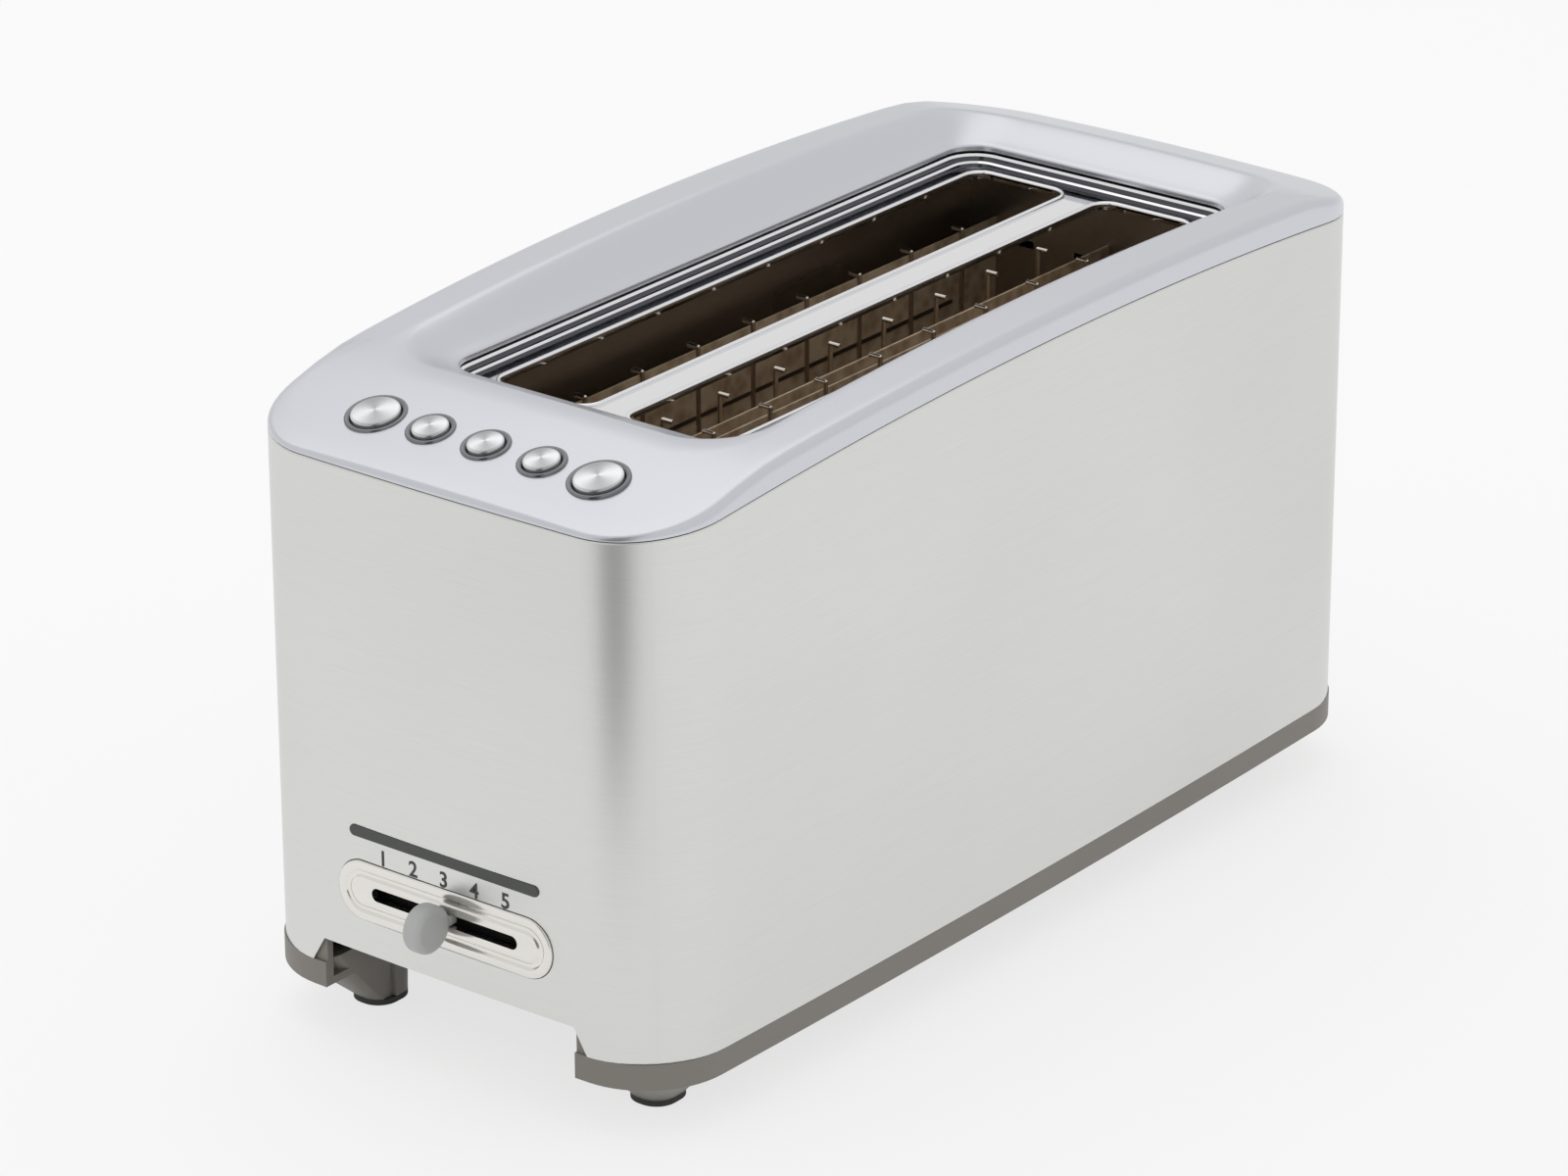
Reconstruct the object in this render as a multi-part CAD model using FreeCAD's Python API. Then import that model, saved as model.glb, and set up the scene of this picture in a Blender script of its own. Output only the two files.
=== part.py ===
import FreeCAD, Part
import math
import os

from FreeCAD import Vector

# Long four-slice toaster. Millimetres, +Z up, the control end faces -Y.
# It is drawn about the middle of its body, and save() moves every piece along Y
# so that the origin is the bottom centre of the whole toaster, its knob included.

# Body outline in plan: four slightly bowed sides joined by round corners
body_length = 380.0
body_width = 172.0
corner_radius = 29.5
side_bow = 2.9
end_bow = 1.4

# Seam between the steel wrap and the cast cover: an arch along the toaster
seam_front = 193.0
seam_middle = 205.0
seam_back = 195.7

# Shells
wrap_wall = 0.9
wrap_bottom = 25.0
arch_top = 33.5
arch_flare = 6.0
cover_wall = 2.6
cover_rise_front = 2.4
crown_radius = 2000.0
rim_radius = 1.6
shell_gap = 0.4

# Profile of the cover along the toaster: slopes in degrees, lengths along Y
panel_slope = 14.5
panel_run = 40.0
shoulder_run = 20.4
crest_slope = 4.6
back_run = 29.6
back_crest_slope = 3.6
back_slope = 15.0

# Opening in the cover and the dish around it
opening_side = 11.0
opening_front_margin = 68.0
opening_back_margin = 41.0
opening_radius = 12.0
lip_height = 201.0
lip_thick = 2.0
dish_depth = 11.0
dish_side_margin = 14.5
dish_front_run = 31.0
dish_back_run = 37.0
dish_radius = 27.0

# Polished surround with the two bread slots
surround_top = 194.0
sheet = 0.8
bar_half = 7.0
slot_width = 37.5
slot_front_margin = 11.0
slot_back_margin = 10.0
slot_radius = 6.0
slot_rim = 1.0
slot_rim_height = 1.6

# Base, feet and crumb tray
base_bottom = 16.4
base_wall = 2.5
base_top = 38.0
pad_thick = 2.0
foot_width = 36.0
foot_length = 44.0
foot_tip_insets_x = (37.5, 22.0)
foot_tip_insets_y = (41.0, 24.0)
foot_tip_radius = 7.0
ramp_run = 30.0
tray_side_gap = 3.0
tray_height = 7.5
tray_front_gap = 7.0
running_gap = 0.4
vent_count = 7
bush_margin = 24.0
bush_z = 32.0
bush_radius = 5.0
bush_bore = 3.2

# Bulkheads, reflectors and heating cards
bulkhead_front_gap = 24.0
bulkhead_back_gap = 19.0
bulkhead_wall = 1.0
bulkhead_side = 4.0
bulkhead_bottom = 30.0
reflector_gap = 10.0
card_inner_gap = 4.0
card_outer_gap = 5.5
card_wall = 0.8
card_bottom = 42.0
card_top = 172.0
ribbon_rows = 9
ribbon_height = 1.4
ribbon_wall = 0.3

# Bread guards, which close on the slice as the carriage goes down
guard_inset = 3.0
guard_travel = 6.0
rail_radius = 1.0
guard_wire = 0.8
guard_wires = 9
guard_rails = (60.0, 165.0)
guard_top = 178.0

# Carriage, its rods and its bread racks
lift_travel = 75.0
rack_up = 120.0
rack_half = 7.5
spine_wall = 2.0
rod_x = 42.0
rod_gap = 7.0
rod_radius = 2.5
rod_fit = 0.05
rod_top = 184.0
bracket_wall = 1.5
bracket_ear = 6.0
bush_height = 19.0

# Lift drive: motor pinion, compound gear and rack
module = 1.0
motor_teeth = 12
wheel_teeth = 40
pinion_teeth = 14
addendum = 0.65
dedendum = 1.05
backlash = 0.10
gear_width = 5.0
wheel_x = -3.0
wheel_z = 106.0
axle_radius = 1.5
shaft_radius = 1.0
motor_radius = 12.0
motor_length = 26.5
plate_wall = 1.5

# Controls on the front face
slider_z = 55.0
plate_length = 85.0
plate_height = 20.0
plate_proud = 0.5
slider_slot = 58.0
slider_slot_height = 4.5
slider_travel = 24.0
knob_projection = 16.5
knob_height = 15.5
knob_width = 7.0
stem_width = 5.0
board_margin = 15.0
window_z = 74.5
window_length = 75.0
window_height = 3.6
face_gap = 0.3

# Push buttons on the sloping panel
button_pitch = 21.7
button_margin = 24.0
button_radii = (7.8, 5.8, 5.8, 5.8, 7.8)
bezel_rim = 2.1
bezel_gap = 0.35
button_travel = 1.6
button_height = 1.7
button_stem = 9.2
button_names = ("start", "more", "bun", "frozen", "lift")

half_length = body_length / 2
half_width = body_width / 2
origin_shift = knob_projection / 2
floor_top = base_bottom + base_wall
crest_run = body_length - panel_run - 2 * shoulder_run - back_run

# Across: the slots set the places of the cards and reflectors, the body's sides those of the feet
slot_edge = bar_half + slot_width
slot_centre = bar_half + slot_width / 2
opening_half = slot_edge + opening_side
dish_side_run = half_width - dish_side_margin - opening_half
card_inner_x = bar_half - card_inner_gap
card_outer_x = slot_edge + card_outer_gap
reflector_x = card_outer_x + reflector_gap
bulkhead_half = reflector_x + bulkhead_side
bracket_half = rod_x + bracket_ear
foot_inner_x = half_width - foot_width
foot_tip_x = tuple(half_width - inset for inset in foot_tip_insets_x)
arch_half = foot_inner_x
tray_half = foot_inner_x - tray_side_gap
bush_x = half_width - bush_margin

# Along: the body's ends set the opening, the feet and the controls, and the opening the rest
opening_front = opening_front_margin - half_length
opening_back = half_length - opening_back_margin
slot_front = opening_front + slot_front_margin
slot_back = opening_back - slot_back_margin
bulkhead_front = slot_front - bulkhead_front_gap
bulkhead_back = slot_back + bulkhead_back_gap
rod_y = bulkhead_front - rod_gap
tray_front = bulkhead_front + tray_front_gap
foot_inner_y = half_length - foot_length
foot_tip_y = tuple(half_length - inset for inset in foot_tip_insets_y)
button_y = button_margin - half_length
board_front = board_margin - half_length


def save(name, shape):
    moved = shape.copy()
    moved.translate(Vector(0, origin_shift, 0))
    moved.exportStep("parts/" + name + ".step")


def block(x0, x1, y0, y1, z0, z1):
    return Part.makeBox(x1 - x0, y1 - y0, z1 - z0, Vector(x0, y0, z0))


def rod(radius, start, end):
    axis = end - start
    return Part.makeCylinder(radius, axis.Length, start, axis)


def union(shapes):
    return shapes[0].multiFuse(shapes[1:]).removeSplitter()


def both_sides(shape):
    return [shape, shape.mirror(Vector(0, 0, 0), Vector(1, 0, 0))]


def polygon_yz(points, x0, x1):
    corners = [Vector(x0, y, z) for y, z in points]
    wire = Part.makePolygon(corners + corners[:1])
    return Part.Face(wire).extrude(Vector(x1 - x0, 0, 0))


def polygon_xz(points, y0, y1):
    corners = [Vector(x, y0, z) for x, z in points]
    wire = Part.makePolygon(corners + corners[:1])
    return Part.Face(wire).extrude(Vector(0, y1 - y0, 0))


def bow_radius(half_chord, bow):
    return (half_chord ** 2 + bow ** 2) / (2 * bow)


def corner_centre():
    """Centre of the round corner that touches the bowed side and the bowed end."""
    side = bow_radius(half_length, side_bow)
    end = bow_radius(half_width, end_bow)
    side_x = half_width - side
    end_y = half_length - end
    reach_side = side - corner_radius
    reach_end = end - corner_radius
    span = math.hypot(side_x, end_y)
    along = (reach_side ** 2 - reach_end ** 2 + span ** 2) / (2 * span)
    off = math.sqrt(reach_side ** 2 - along ** 2)
    unit_x = -side_x / span
    unit_y = end_y / span
    return (side_x + along * unit_x - off * unit_y, along * unit_y + off * unit_x)


def plan_prism(inset, z0, z1):
    """The body's outline, set in all round by inset, from z0 to z1."""
    side = bow_radius(half_length, side_bow)
    end = bow_radius(half_width, end_bow)
    cx, cy = corner_centre()
    to_side = math.atan2(cy, cx - half_width + side)
    to_end = math.atan2(cy - half_length + end, cx)
    radius = corner_radius - inset
    middle = (to_side + to_end) / 2
    side_point = (cx + radius * math.cos(to_side), cy + radius * math.sin(to_side))
    corner_point = (cx + radius * math.cos(middle), cy + radius * math.sin(middle))
    end_point = (cx + radius * math.cos(to_end), cy + radius * math.sin(to_end))

    def at(point, sx, sy):
        return Vector(sx * point[0], sy * point[1], z0)

    edges = []
    for sx in (1, -1):
        tip = Vector(sx * (half_width - inset), 0, z0)
        edges.append(Part.Arc(at(side_point, sx, -1), tip, at(side_point, sx, 1)))
        tip = Vector(0, sx * (half_length - inset), z0)
        edges.append(Part.Arc(at(end_point, -1, sx), tip, at(end_point, 1, sx)))
        for sy in (1, -1):
            edges.append(Part.Arc(at(side_point, sx, sy), at(corner_point, sx, sy), at(end_point, sx, sy)))
    wire = Part.Wire(Part.__sortEdges__([edge.toShape() for edge in edges]))
    return Part.Face(wire).extrude(Vector(0, 0, z1 - z0))


def rounded_wire(x0, x1, y0, y1, radius, z):
    """Rounded rectangle, always with the same order of corners so that two of them loft."""
    edges = []
    turn = radius * (1 - math.sqrt(0.5))
    for start, mid, end in (
        ((x1 - radius, y0), (x1 - turn, y0 + turn), (x1, y0 + radius)),
        ((x1, y1 - radius), (x1 - turn, y1 - turn), (x1 - radius, y1)),
        ((x0 + radius, y1), (x0 + turn, y1 - turn), (x0, y1 - radius)),
        ((x0, y0 + radius), (x0 + turn, y0 + turn), (x0 + radius, y0)),
    ):
        edges.append(Part.Arc(Vector(*start, z), Vector(*mid, z), Vector(*end, z)).toShape())
    sides = []
    for index, edge in enumerate(edges):
        after = edges[(index + 1) % 4]
        sides.append(edge)
        sides.append(Part.makeLine(edge.Vertexes[-1].Point, after.Vertexes[0].Point))
    return Part.Wire(sides)


def rounded_prism(x0, x1, y0, y1, radius, z0, z1):
    return Part.Face(rounded_wire(x0, x1, y0, y1, radius, z0)).extrude(Vector(0, 0, z1 - z0))


def stadium(length, height, y0, y1, z, x=0.0):
    """Flat piece with round ends, facing along Y, centred on x and z."""
    flat = rounded_prism(x - length / 2, x + length / 2, -height / 2, height / 2, height / 2 - 0.001, 0, y1 - y0)
    flat.rotate(Vector(0, 0, 0), Vector(1, 0, 0), 90)
    flat.translate(Vector(0, y1, z))
    return flat


def seam_height(y):
    """Height of the seam: the circle through its front, middle and back points."""
    rise_front = seam_middle - seam_front
    rise_back = seam_middle - seam_back
    tilt = (rise_front - rise_back) / body_length
    return seam_middle + tilt * y - (rise_front + rise_back) / 2 * (y / half_length) ** 2


def below_seam():
    reach = half_length * 1.2
    start = Vector(-body_width, -reach, seam_height(-reach))
    middle = Vector(-body_width, 0, seam_middle)
    end = Vector(-body_width, reach, seam_height(reach))
    low_end = Vector(-body_width, reach, -50)
    low_start = Vector(-body_width, -reach, -50)
    edges = [Part.Arc(start, middle, end).toShape()]
    edges.append(Part.makeLine(end, low_end))
    edges.append(Part.makeLine(low_end, low_start))
    edges.append(Part.makeLine(low_start, start))
    return Part.Face(Part.Wire(edges)).extrude(Vector(2 * body_width, 0, 0))


def cover_profile():
    """Points and end slopes of the cover's middle line, front to back."""
    y = -half_length
    z = seam_front + cover_rise_front
    points = [(y, z)]
    runs = (
        (panel_run, panel_slope, panel_slope),
        (shoulder_run, panel_slope, crest_slope),
        (crest_run, crest_slope, -back_crest_slope),
        (shoulder_run, -back_crest_slope, -back_slope),
        (half_length, -back_slope, -back_slope),
    )
    for run, slope_in, slope_out in runs:
        y += run
        z += run * math.tan(math.radians((slope_in + slope_out) / 2))
        points.append((y, z))
    return points, runs


def panel_height(y):
    return seam_front + cover_rise_front + (y + half_length) * math.tan(math.radians(panel_slope))


def crest_height():
    points, _ = cover_profile()
    return max(z for _, z in points)


def under_crown(drop):
    """Everything below the crowned top of the cover, lowered by drop."""
    points, runs = cover_profile()
    lead = Vector(0, points[0][0] - 40, points[0][1] - 40 * math.tan(math.radians(panel_slope)))
    edges = []
    last = lead
    for index, (y, z) in enumerate(points):
        if index == 0 or runs[index - 1][1] == runs[index - 1][2]:
            edges.append(Part.makeLine(last, Vector(0, y, z)))
        else:
            edges.append(arc_from_slope(last, Vector(0, y, z), runs[index - 1][1]))
        last = Vector(0, y, z)
    low_end = Vector(0, last.y, 100)
    low_start = Vector(0, lead.y, 100)
    edges.append(Part.makeLine(last, low_end))
    edges.append(Part.makeLine(low_end, low_start))
    edges.append(Part.makeLine(low_start, lead))
    face = Part.Face(Part.Wire(edges))
    centre = Vector(0, 0, crest_height() - crown_radius)
    sweep = 2 * math.degrees(math.asin(body_width / crown_radius))
    face.rotate(centre, Vector(0, 1, 0), -sweep / 2)
    solid = face.revolve(centre, Vector(0, 1, 0), sweep)
    solid.translate(Vector(0, 0, -drop))
    return solid


def arc_from_slope(start, end, slope):
    """Arc in the middle plane that leaves start at the given slope and ends at end."""
    chord = end - start
    bend = math.atan2(chord.z, chord.y) - math.radians(slope)
    sagitta = chord.Length / 2 * math.tan(bend / 2)
    normal = Vector(0, -chord.z, chord.y).normalize()
    middle = (start + end) * 0.5 - normal * sagitta
    return Part.Arc(start, middle, end).toShape()


def dish(grow, drop):
    """Funnel around the opening: from the opening's edge up and out to the crest."""
    low = rounded_wire(
        -opening_half - grow, opening_half + grow,
        opening_front - grow, opening_back + grow,
        opening_radius + grow, lip_height - drop,
    )
    high = rounded_wire(
        -opening_half - dish_side_run - grow, opening_half + dish_side_run + grow,
        opening_front - dish_front_run - grow, opening_back + dish_back_run + grow,
        dish_radius + grow, lip_height + dish_depth - drop,
    )
    top = high.copy()
    top.translate(Vector(0, 0, 2 * dish_depth))
    funnel = Part.makeLoft([low, high], True, True)
    return funnel.fuse(Part.makeLoft([high, top], True, True))


def place_on_panel(shape, x):
    """Moves a shape drawn about the origin, Z up, to its place on the sloping panel."""
    drop = crown_radius - math.sqrt(crown_radius ** 2 - x ** 2)
    placed = shape.copy()
    placed.rotate(Vector(0, 0, 0), Vector(1, 0, 0), panel_slope)
    placed.translate(Vector(x, button_y, panel_height(button_y) - drop))
    return placed


def button_x(index):
    return (index - 2) * button_pitch


def board_boss(x, y, top, bottom):
    return Part.makeCylinder(3.0, top - bottom, Vector(x, y, bottom))


board_top = -button_stem - button_travel - 2.6
board_wall = 1.6
board_half = 64.0
boss_x = 59.0
boss_y = 5.0


def top_cover():
    tall = crest_height() + 5
    outer = plan_prism(0, 150, tall).common(under_crown(0)).cut(below_seam())
    outer = soften_rim(outer)
    cavity = plan_prism(cover_wall, 140, tall).common(under_crown(cover_wall))
    cavity = cavity.cut(dish(cover_wall, lip_thick))
    cover = outer.cut(cavity).cut(dish(0, 0))
    cover = cover.cut(rounded_prism(
        -opening_half, opening_half, opening_front, opening_back, opening_radius, 140, tall,
    ))
    bosses = []
    for x in (-boss_x, boss_x):
        for y in (-boss_y, boss_y):
            bosses.append(place_on_panel(board_boss(x, y, -cover_wall + 0.6, board_top), 0))
    cover = union([cover] + bosses)
    for index, radius in enumerate(button_radii):
        ring = radius + bezel_rim
        hole = Part.makeCylinder(ring - 0.8, 20, Vector(0, 0, -10))
        seat = Part.makeCylinder(ring + 0.15, 10, Vector(0, 0, -0.6))
        cover = cover.cut(place_on_panel(hole.fuse(seat), button_x(index)))
    return cover


def soften_rim(outer):
    """Rounds the outer top edge of the cover."""
    rim = []
    for edge in outer.Edges:
        middle = edge.valueAt((edge.FirstParameter + edge.LastParameter) / 2)
        lowest = min(point.Z - seam_height(point.Y) for point in edge.Vertexes)
        near_side = abs(middle.x) > half_width - corner_radius
        near_end = abs(middle.y) > half_length - corner_radius
        if lowest > 0.5 and (near_side or near_end):
            rim.append(edge)
    return outer.makeFillet(rim_radius, rim)


def slot_outline(side, grow, z0, z1):
    x0 = bar_half - grow
    x1 = bar_half + slot_width + grow
    if side < 0:
        x0, x1 = -x1, -x0
    return rounded_prism(x0, x1, slot_front - grow, slot_back + grow, slot_radius + grow, z0, z1)


def slot_surround():
    margin = 3.5
    grow = margin
    outer = [
        -opening_half - grow, opening_half + grow,
        opening_front - grow, opening_back + grow, opening_radius + grow,
    ]
    inner = [outer[0] + sheet, outer[1] - sheet, outer[2] + sheet, outer[3] - sheet, outer[4] - sheet]
    top = lip_height - lip_thick - face_gap
    pan = rounded_prism(*outer, surround_top - sheet, top)
    pan = pan.cut(rounded_prism(*inner, surround_top, top + 1))
    for side in (-1, 1):
        pan = pan.fuse(slot_outline(side, slot_rim, surround_top - sheet, surround_top + slot_rim_height))
        pan = pan.cut(slot_outline(side, 0, surround_top - 5, surround_top + 5))
    return pan.removeSplitter()


def steel_wrap():
    wrap = plan_prism(0, wrap_bottom, seam_middle + 5)
    wrap = wrap.cut(plan_prism(wrap_wall, wrap_bottom - 1, seam_middle + 6))
    wrap = wrap.common(below_seam())
    low = wrap_bottom - 2
    arch = [
        (-arch_half - arch_flare, low), (-arch_half, arch_top),
        (arch_half, arch_top), (arch_half + arch_flare, low),
    ]
    wrap = wrap.cut(polygon_xz(arch, -body_length, body_length))
    front = -half_length - 5
    wrap = wrap.cut(stadium(plate_length + 2 * face_gap, plate_height + 2 * face_gap, front, front + 12, slider_z))
    wrap = wrap.cut(stadium(window_length + 0.2, window_height + 0.2, front, front + 12, window_z))
    hole = rod(bush_radius + 0.15, Vector(bush_x, half_length - 20, bush_z), Vector(bush_x, body_length, bush_z))
    return wrap.cut(hole)


def foot(sx, sy):
    """One corner foot, tapering from the body's corner to its pad."""
    edge_x = half_width - face_gap
    edge_y = half_length - face_gap
    high = rounded_wire(foot_inner_x, edge_x, foot_inner_y, edge_y, 8.0, wrap_bottom - 0.1)
    low = rounded_wire(*foot_tip_x, *foot_tip_y, foot_tip_radius, pad_thick)
    solid = Part.makeLoft([low, high], True, True)
    solid = solid.common(plan_prism(face_gap, 0, wrap_bottom))
    if sx < 0:
        solid = solid.mirror(Vector(0, 0, 0), Vector(1, 0, 0))
    if sy < 0:
        solid = solid.mirror(Vector(0, 0, 0), Vector(0, 1, 0))
    return solid


def corners():
    return [(sx, sy) for sx in (-1, 1) for sy in (-1, 1)]


def post_centre(sx, sy):
    y = bulkhead_front + bulkhead_wall / 2 if sy < 0 else bulkhead_back + bulkhead_wall / 2
    return sx * (bulkhead_half - 6), y


def screw_centre(sx, sy):
    """Base screws: the front pair enters the posts, the back pair the ribs in front of the feet."""
    x, y = post_centre(sx, sy)
    return x, y if sy < 0 else foot_inner_y - 6


foot_top = wrap_bottom - 0.1
post_half = 4.0
board_bottom = 36.0
socket_top = 31.0


def base():
    shell_inset = wrap_wall + shell_gap
    tub = plan_prism(shell_inset, base_bottom, base_top)
    tub = tub.cut(plan_prism(shell_inset + base_wall, floor_top, base_top + 1))
    band = plan_prism(face_gap, base_bottom, wrap_bottom - 0.1)
    band = band.cut(plan_prism(shell_inset + 1, base_bottom - 1, wrap_bottom))
    band = band.cut(block(-foot_inner_x, foot_inner_x, -body_length, -half_length / 2, 0, base_top))
    pieces = [tub, band] + [foot(sx, sy) for sx, sy in corners()]
    inside = -half_length + shell_inset
    ramp_end = inside + ramp_run
    ramp = [
        (inside, arch_top - 0.5), (inside, arch_top + 2.5),
        (ramp_end + base_wall, floor_top), (ramp_end + base_wall, base_bottom), (ramp_end, base_bottom),
    ]
    pieces.append(polygon_yz(ramp, -foot_inner_x, foot_inner_x).common(plan_prism(shell_inset, 0, base_top)))
    for sx, sy in corners():
        x, y = post_centre(sx, sy)
        start = min(y, screw_centre(sx, sy)[1]) - post_half
        pieces.append(block(x - post_half, x + post_half, start, y + post_half, base_bottom, bulkhead_bottom))
    for x in (-rod_x, rod_x):
        pieces.append(rod(rod_radius + 2.5, Vector(x, rod_y, base_bottom), Vector(x, rod_y, socket_top)))
        post = block(-3, 3, board_front, board_front + 4, floor_top + 1, board_bottom)
        post.translate(Vector(x, 0, 0))
        pieces.append(post)
    solid = union(pieces)
    wedge = [
        (-body_length, 0), (-body_length, arch_top - 0.5), (inside, arch_top - 0.5),
        (ramp_end, base_bottom), (ramp_end, 0),
    ]
    solid = solid.cut(polygon_yz(wedge, -foot_inner_x, foot_inner_x))
    mouth = block(
        -tray_half - 2 * running_gap, tray_half + 2 * running_gap,
        half_length - 10, body_length, floor_top, floor_top + tray_height + 3.6,
    )
    solid = solid.cut(mouth)
    for x in (-rod_x, rod_x):
        bore = rod(rod_radius + rod_fit, Vector(x, rod_y, floor_top + 3), Vector(x, rod_y, base_top))
        solid = solid.cut(bore)
    for sx, sy in corners():
        x, y = screw_centre(sx, sy)
        solid = solid.cut(rod(3.6, Vector(x, y, 0), Vector(x, y, floor_top - 0.5)))
        solid = solid.cut(rod(1.6, Vector(x, y, 0), Vector(x, y, base_top)))
    for index in range(vent_count):
        y = (index - (vent_count - 1) / 2) * 26.0 + 12.0
        solid = solid.cut(block(-30, 30, y - 2.0, y + 2.0, 0, floor_top + 0.1))
    hole = rod(bush_radius + 0.1, Vector(bush_x, half_length - 14, bush_z), Vector(bush_x, body_length, bush_z))
    return solid.cut(hole)


def rubber_feet():
    pads = []
    for sx, sy in corners():
        pad = rounded_prism(*foot_tip_x, *foot_tip_y, foot_tip_radius, 0, pad_thick)
        if sx < 0:
            pad = pad.mirror(Vector(0, 0, 0), Vector(1, 0, 0))
        if sy < 0:
            pad = pad.mirror(Vector(0, 0, 0), Vector(0, 1, 0))
        pads.append(pad)
    return Part.makeCompound(pads)


def base_screws():
    screws = []
    for sx, sy in corners():
        x, y = screw_centre(sx, sy)
        head = rod(3.3, Vector(x, y, floor_top - 2.2), Vector(x, y, floor_top - 0.5))
        shank = rod(1.5, Vector(x, y, floor_top - 0.5), Vector(x, y, bulkhead_bottom - 1))
        screws.append(head.fuse(shank))
    return Part.makeCompound(screws)


def crumb_tray():
    low = floor_top + running_gap
    back = half_length - 5.0
    tray = block(-tray_half, tray_half, tray_front, back, low, low + tray_height)
    hollow = block(
        -tray_half + sheet, tray_half - sheet, tray_front + sheet, back - sheet,
        low + sheet, low + tray_height + 1,
    )
    return tray.cut(hollow)


def crumb_tray_handle():
    low = floor_top + running_gap
    back = half_length - 5.0
    high = low + tray_height + 2.8
    face = block(-tray_half - running_gap, tray_half + running_gap, back, back + 4.0, low, high)
    face = face.common(plan_prism(face_gap, 0, base_top))
    pull = rod(11.0, Vector(0, back + 1.5, low - 6.5), Vector(0, back + 5.0, low - 6.5))
    return face.cut(pull)


def cord_bush():
    inside = Vector(bush_x, half_length - 12, bush_z)
    sleeve = rod(bush_radius, inside, Vector(bush_x, half_length - 1.0, bush_z))
    return sleeve.cut(rod(bush_bore, inside, Vector(bush_x, half_length + 1, bush_z)))


def terminal_block():
    x0 = -foot_inner_x - 22
    y0 = post_centre(-1, 1)[1] + post_half + 1.5
    body = block(x0, x0 + 16, y0, y0 + 14, foot_top, foot_top + 12)
    for index in range(3):
        x = x0 + 3 + 5 * index
        body = body.cut(rod(1.4, Vector(x, y0 + 7, foot_top + 5), Vector(x, y0 + 7, foot_top + 13)))
    return body


def guard_rest(side, place):
    """Middle of a guard along X at rest. place is -1 beside the centre bar, 1 beside the outer card."""
    x = bar_half + guard_inset if place < 0 else bar_half + slot_width - guard_inset
    return side * x


def bulkhead(y):
    """Cross wall of the toasting chamber, with slots for the guards and the bread racks."""
    wall = block(
        -bulkhead_half, bulkhead_half, y, y + bulkhead_wall, bulkhead_bottom, surround_top - sheet,
    )
    for side in (-1, 1):
        x = side * slot_centre
        low = rack_up - lift_travel - 6
        wall = wall.cut(block(x - spine_wall - 0.3, x + spine_wall + 0.3, y - 1, y + 5, low, rack_up + 3))
        for place in (-1, 1):
            start = guard_rest(side, place)
            end = start - side * place * guard_travel
            reach = rail_radius + 0.3
            for z in guard_rails:
                slot = block(min(start, end) - reach, max(start, end) + reach, y - 1, y + 5, z - reach, z + reach)
                wall = wall.cut(slot)
    return wall


def front_bulkhead():
    y = bulkhead_front
    tab_front = rod_y - rod_radius - 3
    wall = bulkhead(y)
    for x in (-rod_x, rod_x):
        wall = wall.fuse(block(x - 6, x + 6, tab_front, y, rod_top - 1.5, rod_top))
    wall = wall.removeSplitter()
    for x in (-rod_x, rod_x):
        wall = wall.cut(rod(rod_radius + rod_fit, Vector(x, rod_y, rod_top - 3), Vector(x, rod_y, rod_top + 3)))
    return wall


def chamber_sheet(x0, x1, z0, z1):
    """A sheet that stands between the two bulkheads."""
    return block(x0, x1, bulkhead_front + bulkhead_wall, bulkhead_back, z0, z1)


def reflector(side):
    x = side * reflector_x
    return chamber_sheet(min(x, x + side * sheet), max(x, x + side * sheet), 34, surround_top - 5)


def card_span(side, place):
    x = side * (card_inner_x if place < 0 else card_outer_x)
    return min(x, x + side * card_wall), max(x, x + side * card_wall)


def heating_card(side, place):
    x0, x1 = card_span(side, place)
    return chamber_sheet(x0, x1, card_bottom, card_top)


def heating_ribbons(side, place):
    x0, x1 = card_span(side, place)
    faces_up = side * place < 0
    start = x1 if faces_up else x0 - ribbon_wall
    pitch = (card_top - card_bottom - 20) / (ribbon_rows - 1)
    strips = []
    for row in range(ribbon_rows):
        z = card_bottom + 10 + row * pitch
        strips.append(block(start, start + ribbon_wall, slot_front + 6, slot_back - 6, z, z + ribbon_height))
    return Part.makeCompound(strips)


def bread_guard(side, place):
    """Wire cage beside the slice: two long rails and upright wires bent outwards at the top."""
    x = guard_rest(side, place)
    ends = (bulkhead_front + 0.2, bulkhead_back + bulkhead_wall - 0.2)
    wires = [rod(rail_radius, Vector(x, ends[0], z), Vector(x, ends[1], z)) for z in guard_rails]
    pitch = (slot_back - slot_front - 24) / (guard_wires - 1)
    out = side * place * 4.0
    for index in range(guard_wires):
        y = slot_front + 12 + index * pitch
        wires.append(rod(guard_wire, Vector(x, y, guard_rails[0]), Vector(x, y, guard_top)))
        wires.append(rod(guard_wire, Vector(x, y, guard_top), Vector(x + out, y, guard_top)))
        wires.append(Part.makeSphere(guard_wire, Vector(x, y, guard_top)))
    return union(wires)


def guide_rod(side):
    x = side * rod_x
    return rod(rod_radius, Vector(x, rod_y, floor_top + 3.2), Vector(x, rod_y, rod_top))


bracket_back = bulkhead_front - 1.1
bracket_front = bracket_back - bracket_wall
bracket_top = rack_up + 8


def lift_bracket():
    plate = block(-bracket_half, bracket_half, bracket_front, bracket_back, rack_up - 8, bracket_top)
    pieces = [plate]
    for x in (-rod_x, rod_x):
        pieces.append(rod(6.0, Vector(x, rod_y, bracket_top - bush_height), Vector(x, rod_y, bracket_top)))
    solid = union(pieces)
    for x in (-rod_x, rod_x):
        solid = solid.cut(rod(rod_radius + rod_fit, Vector(x, rod_y, 0), Vector(x, rod_y, rod_top)))
    return solid


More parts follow.
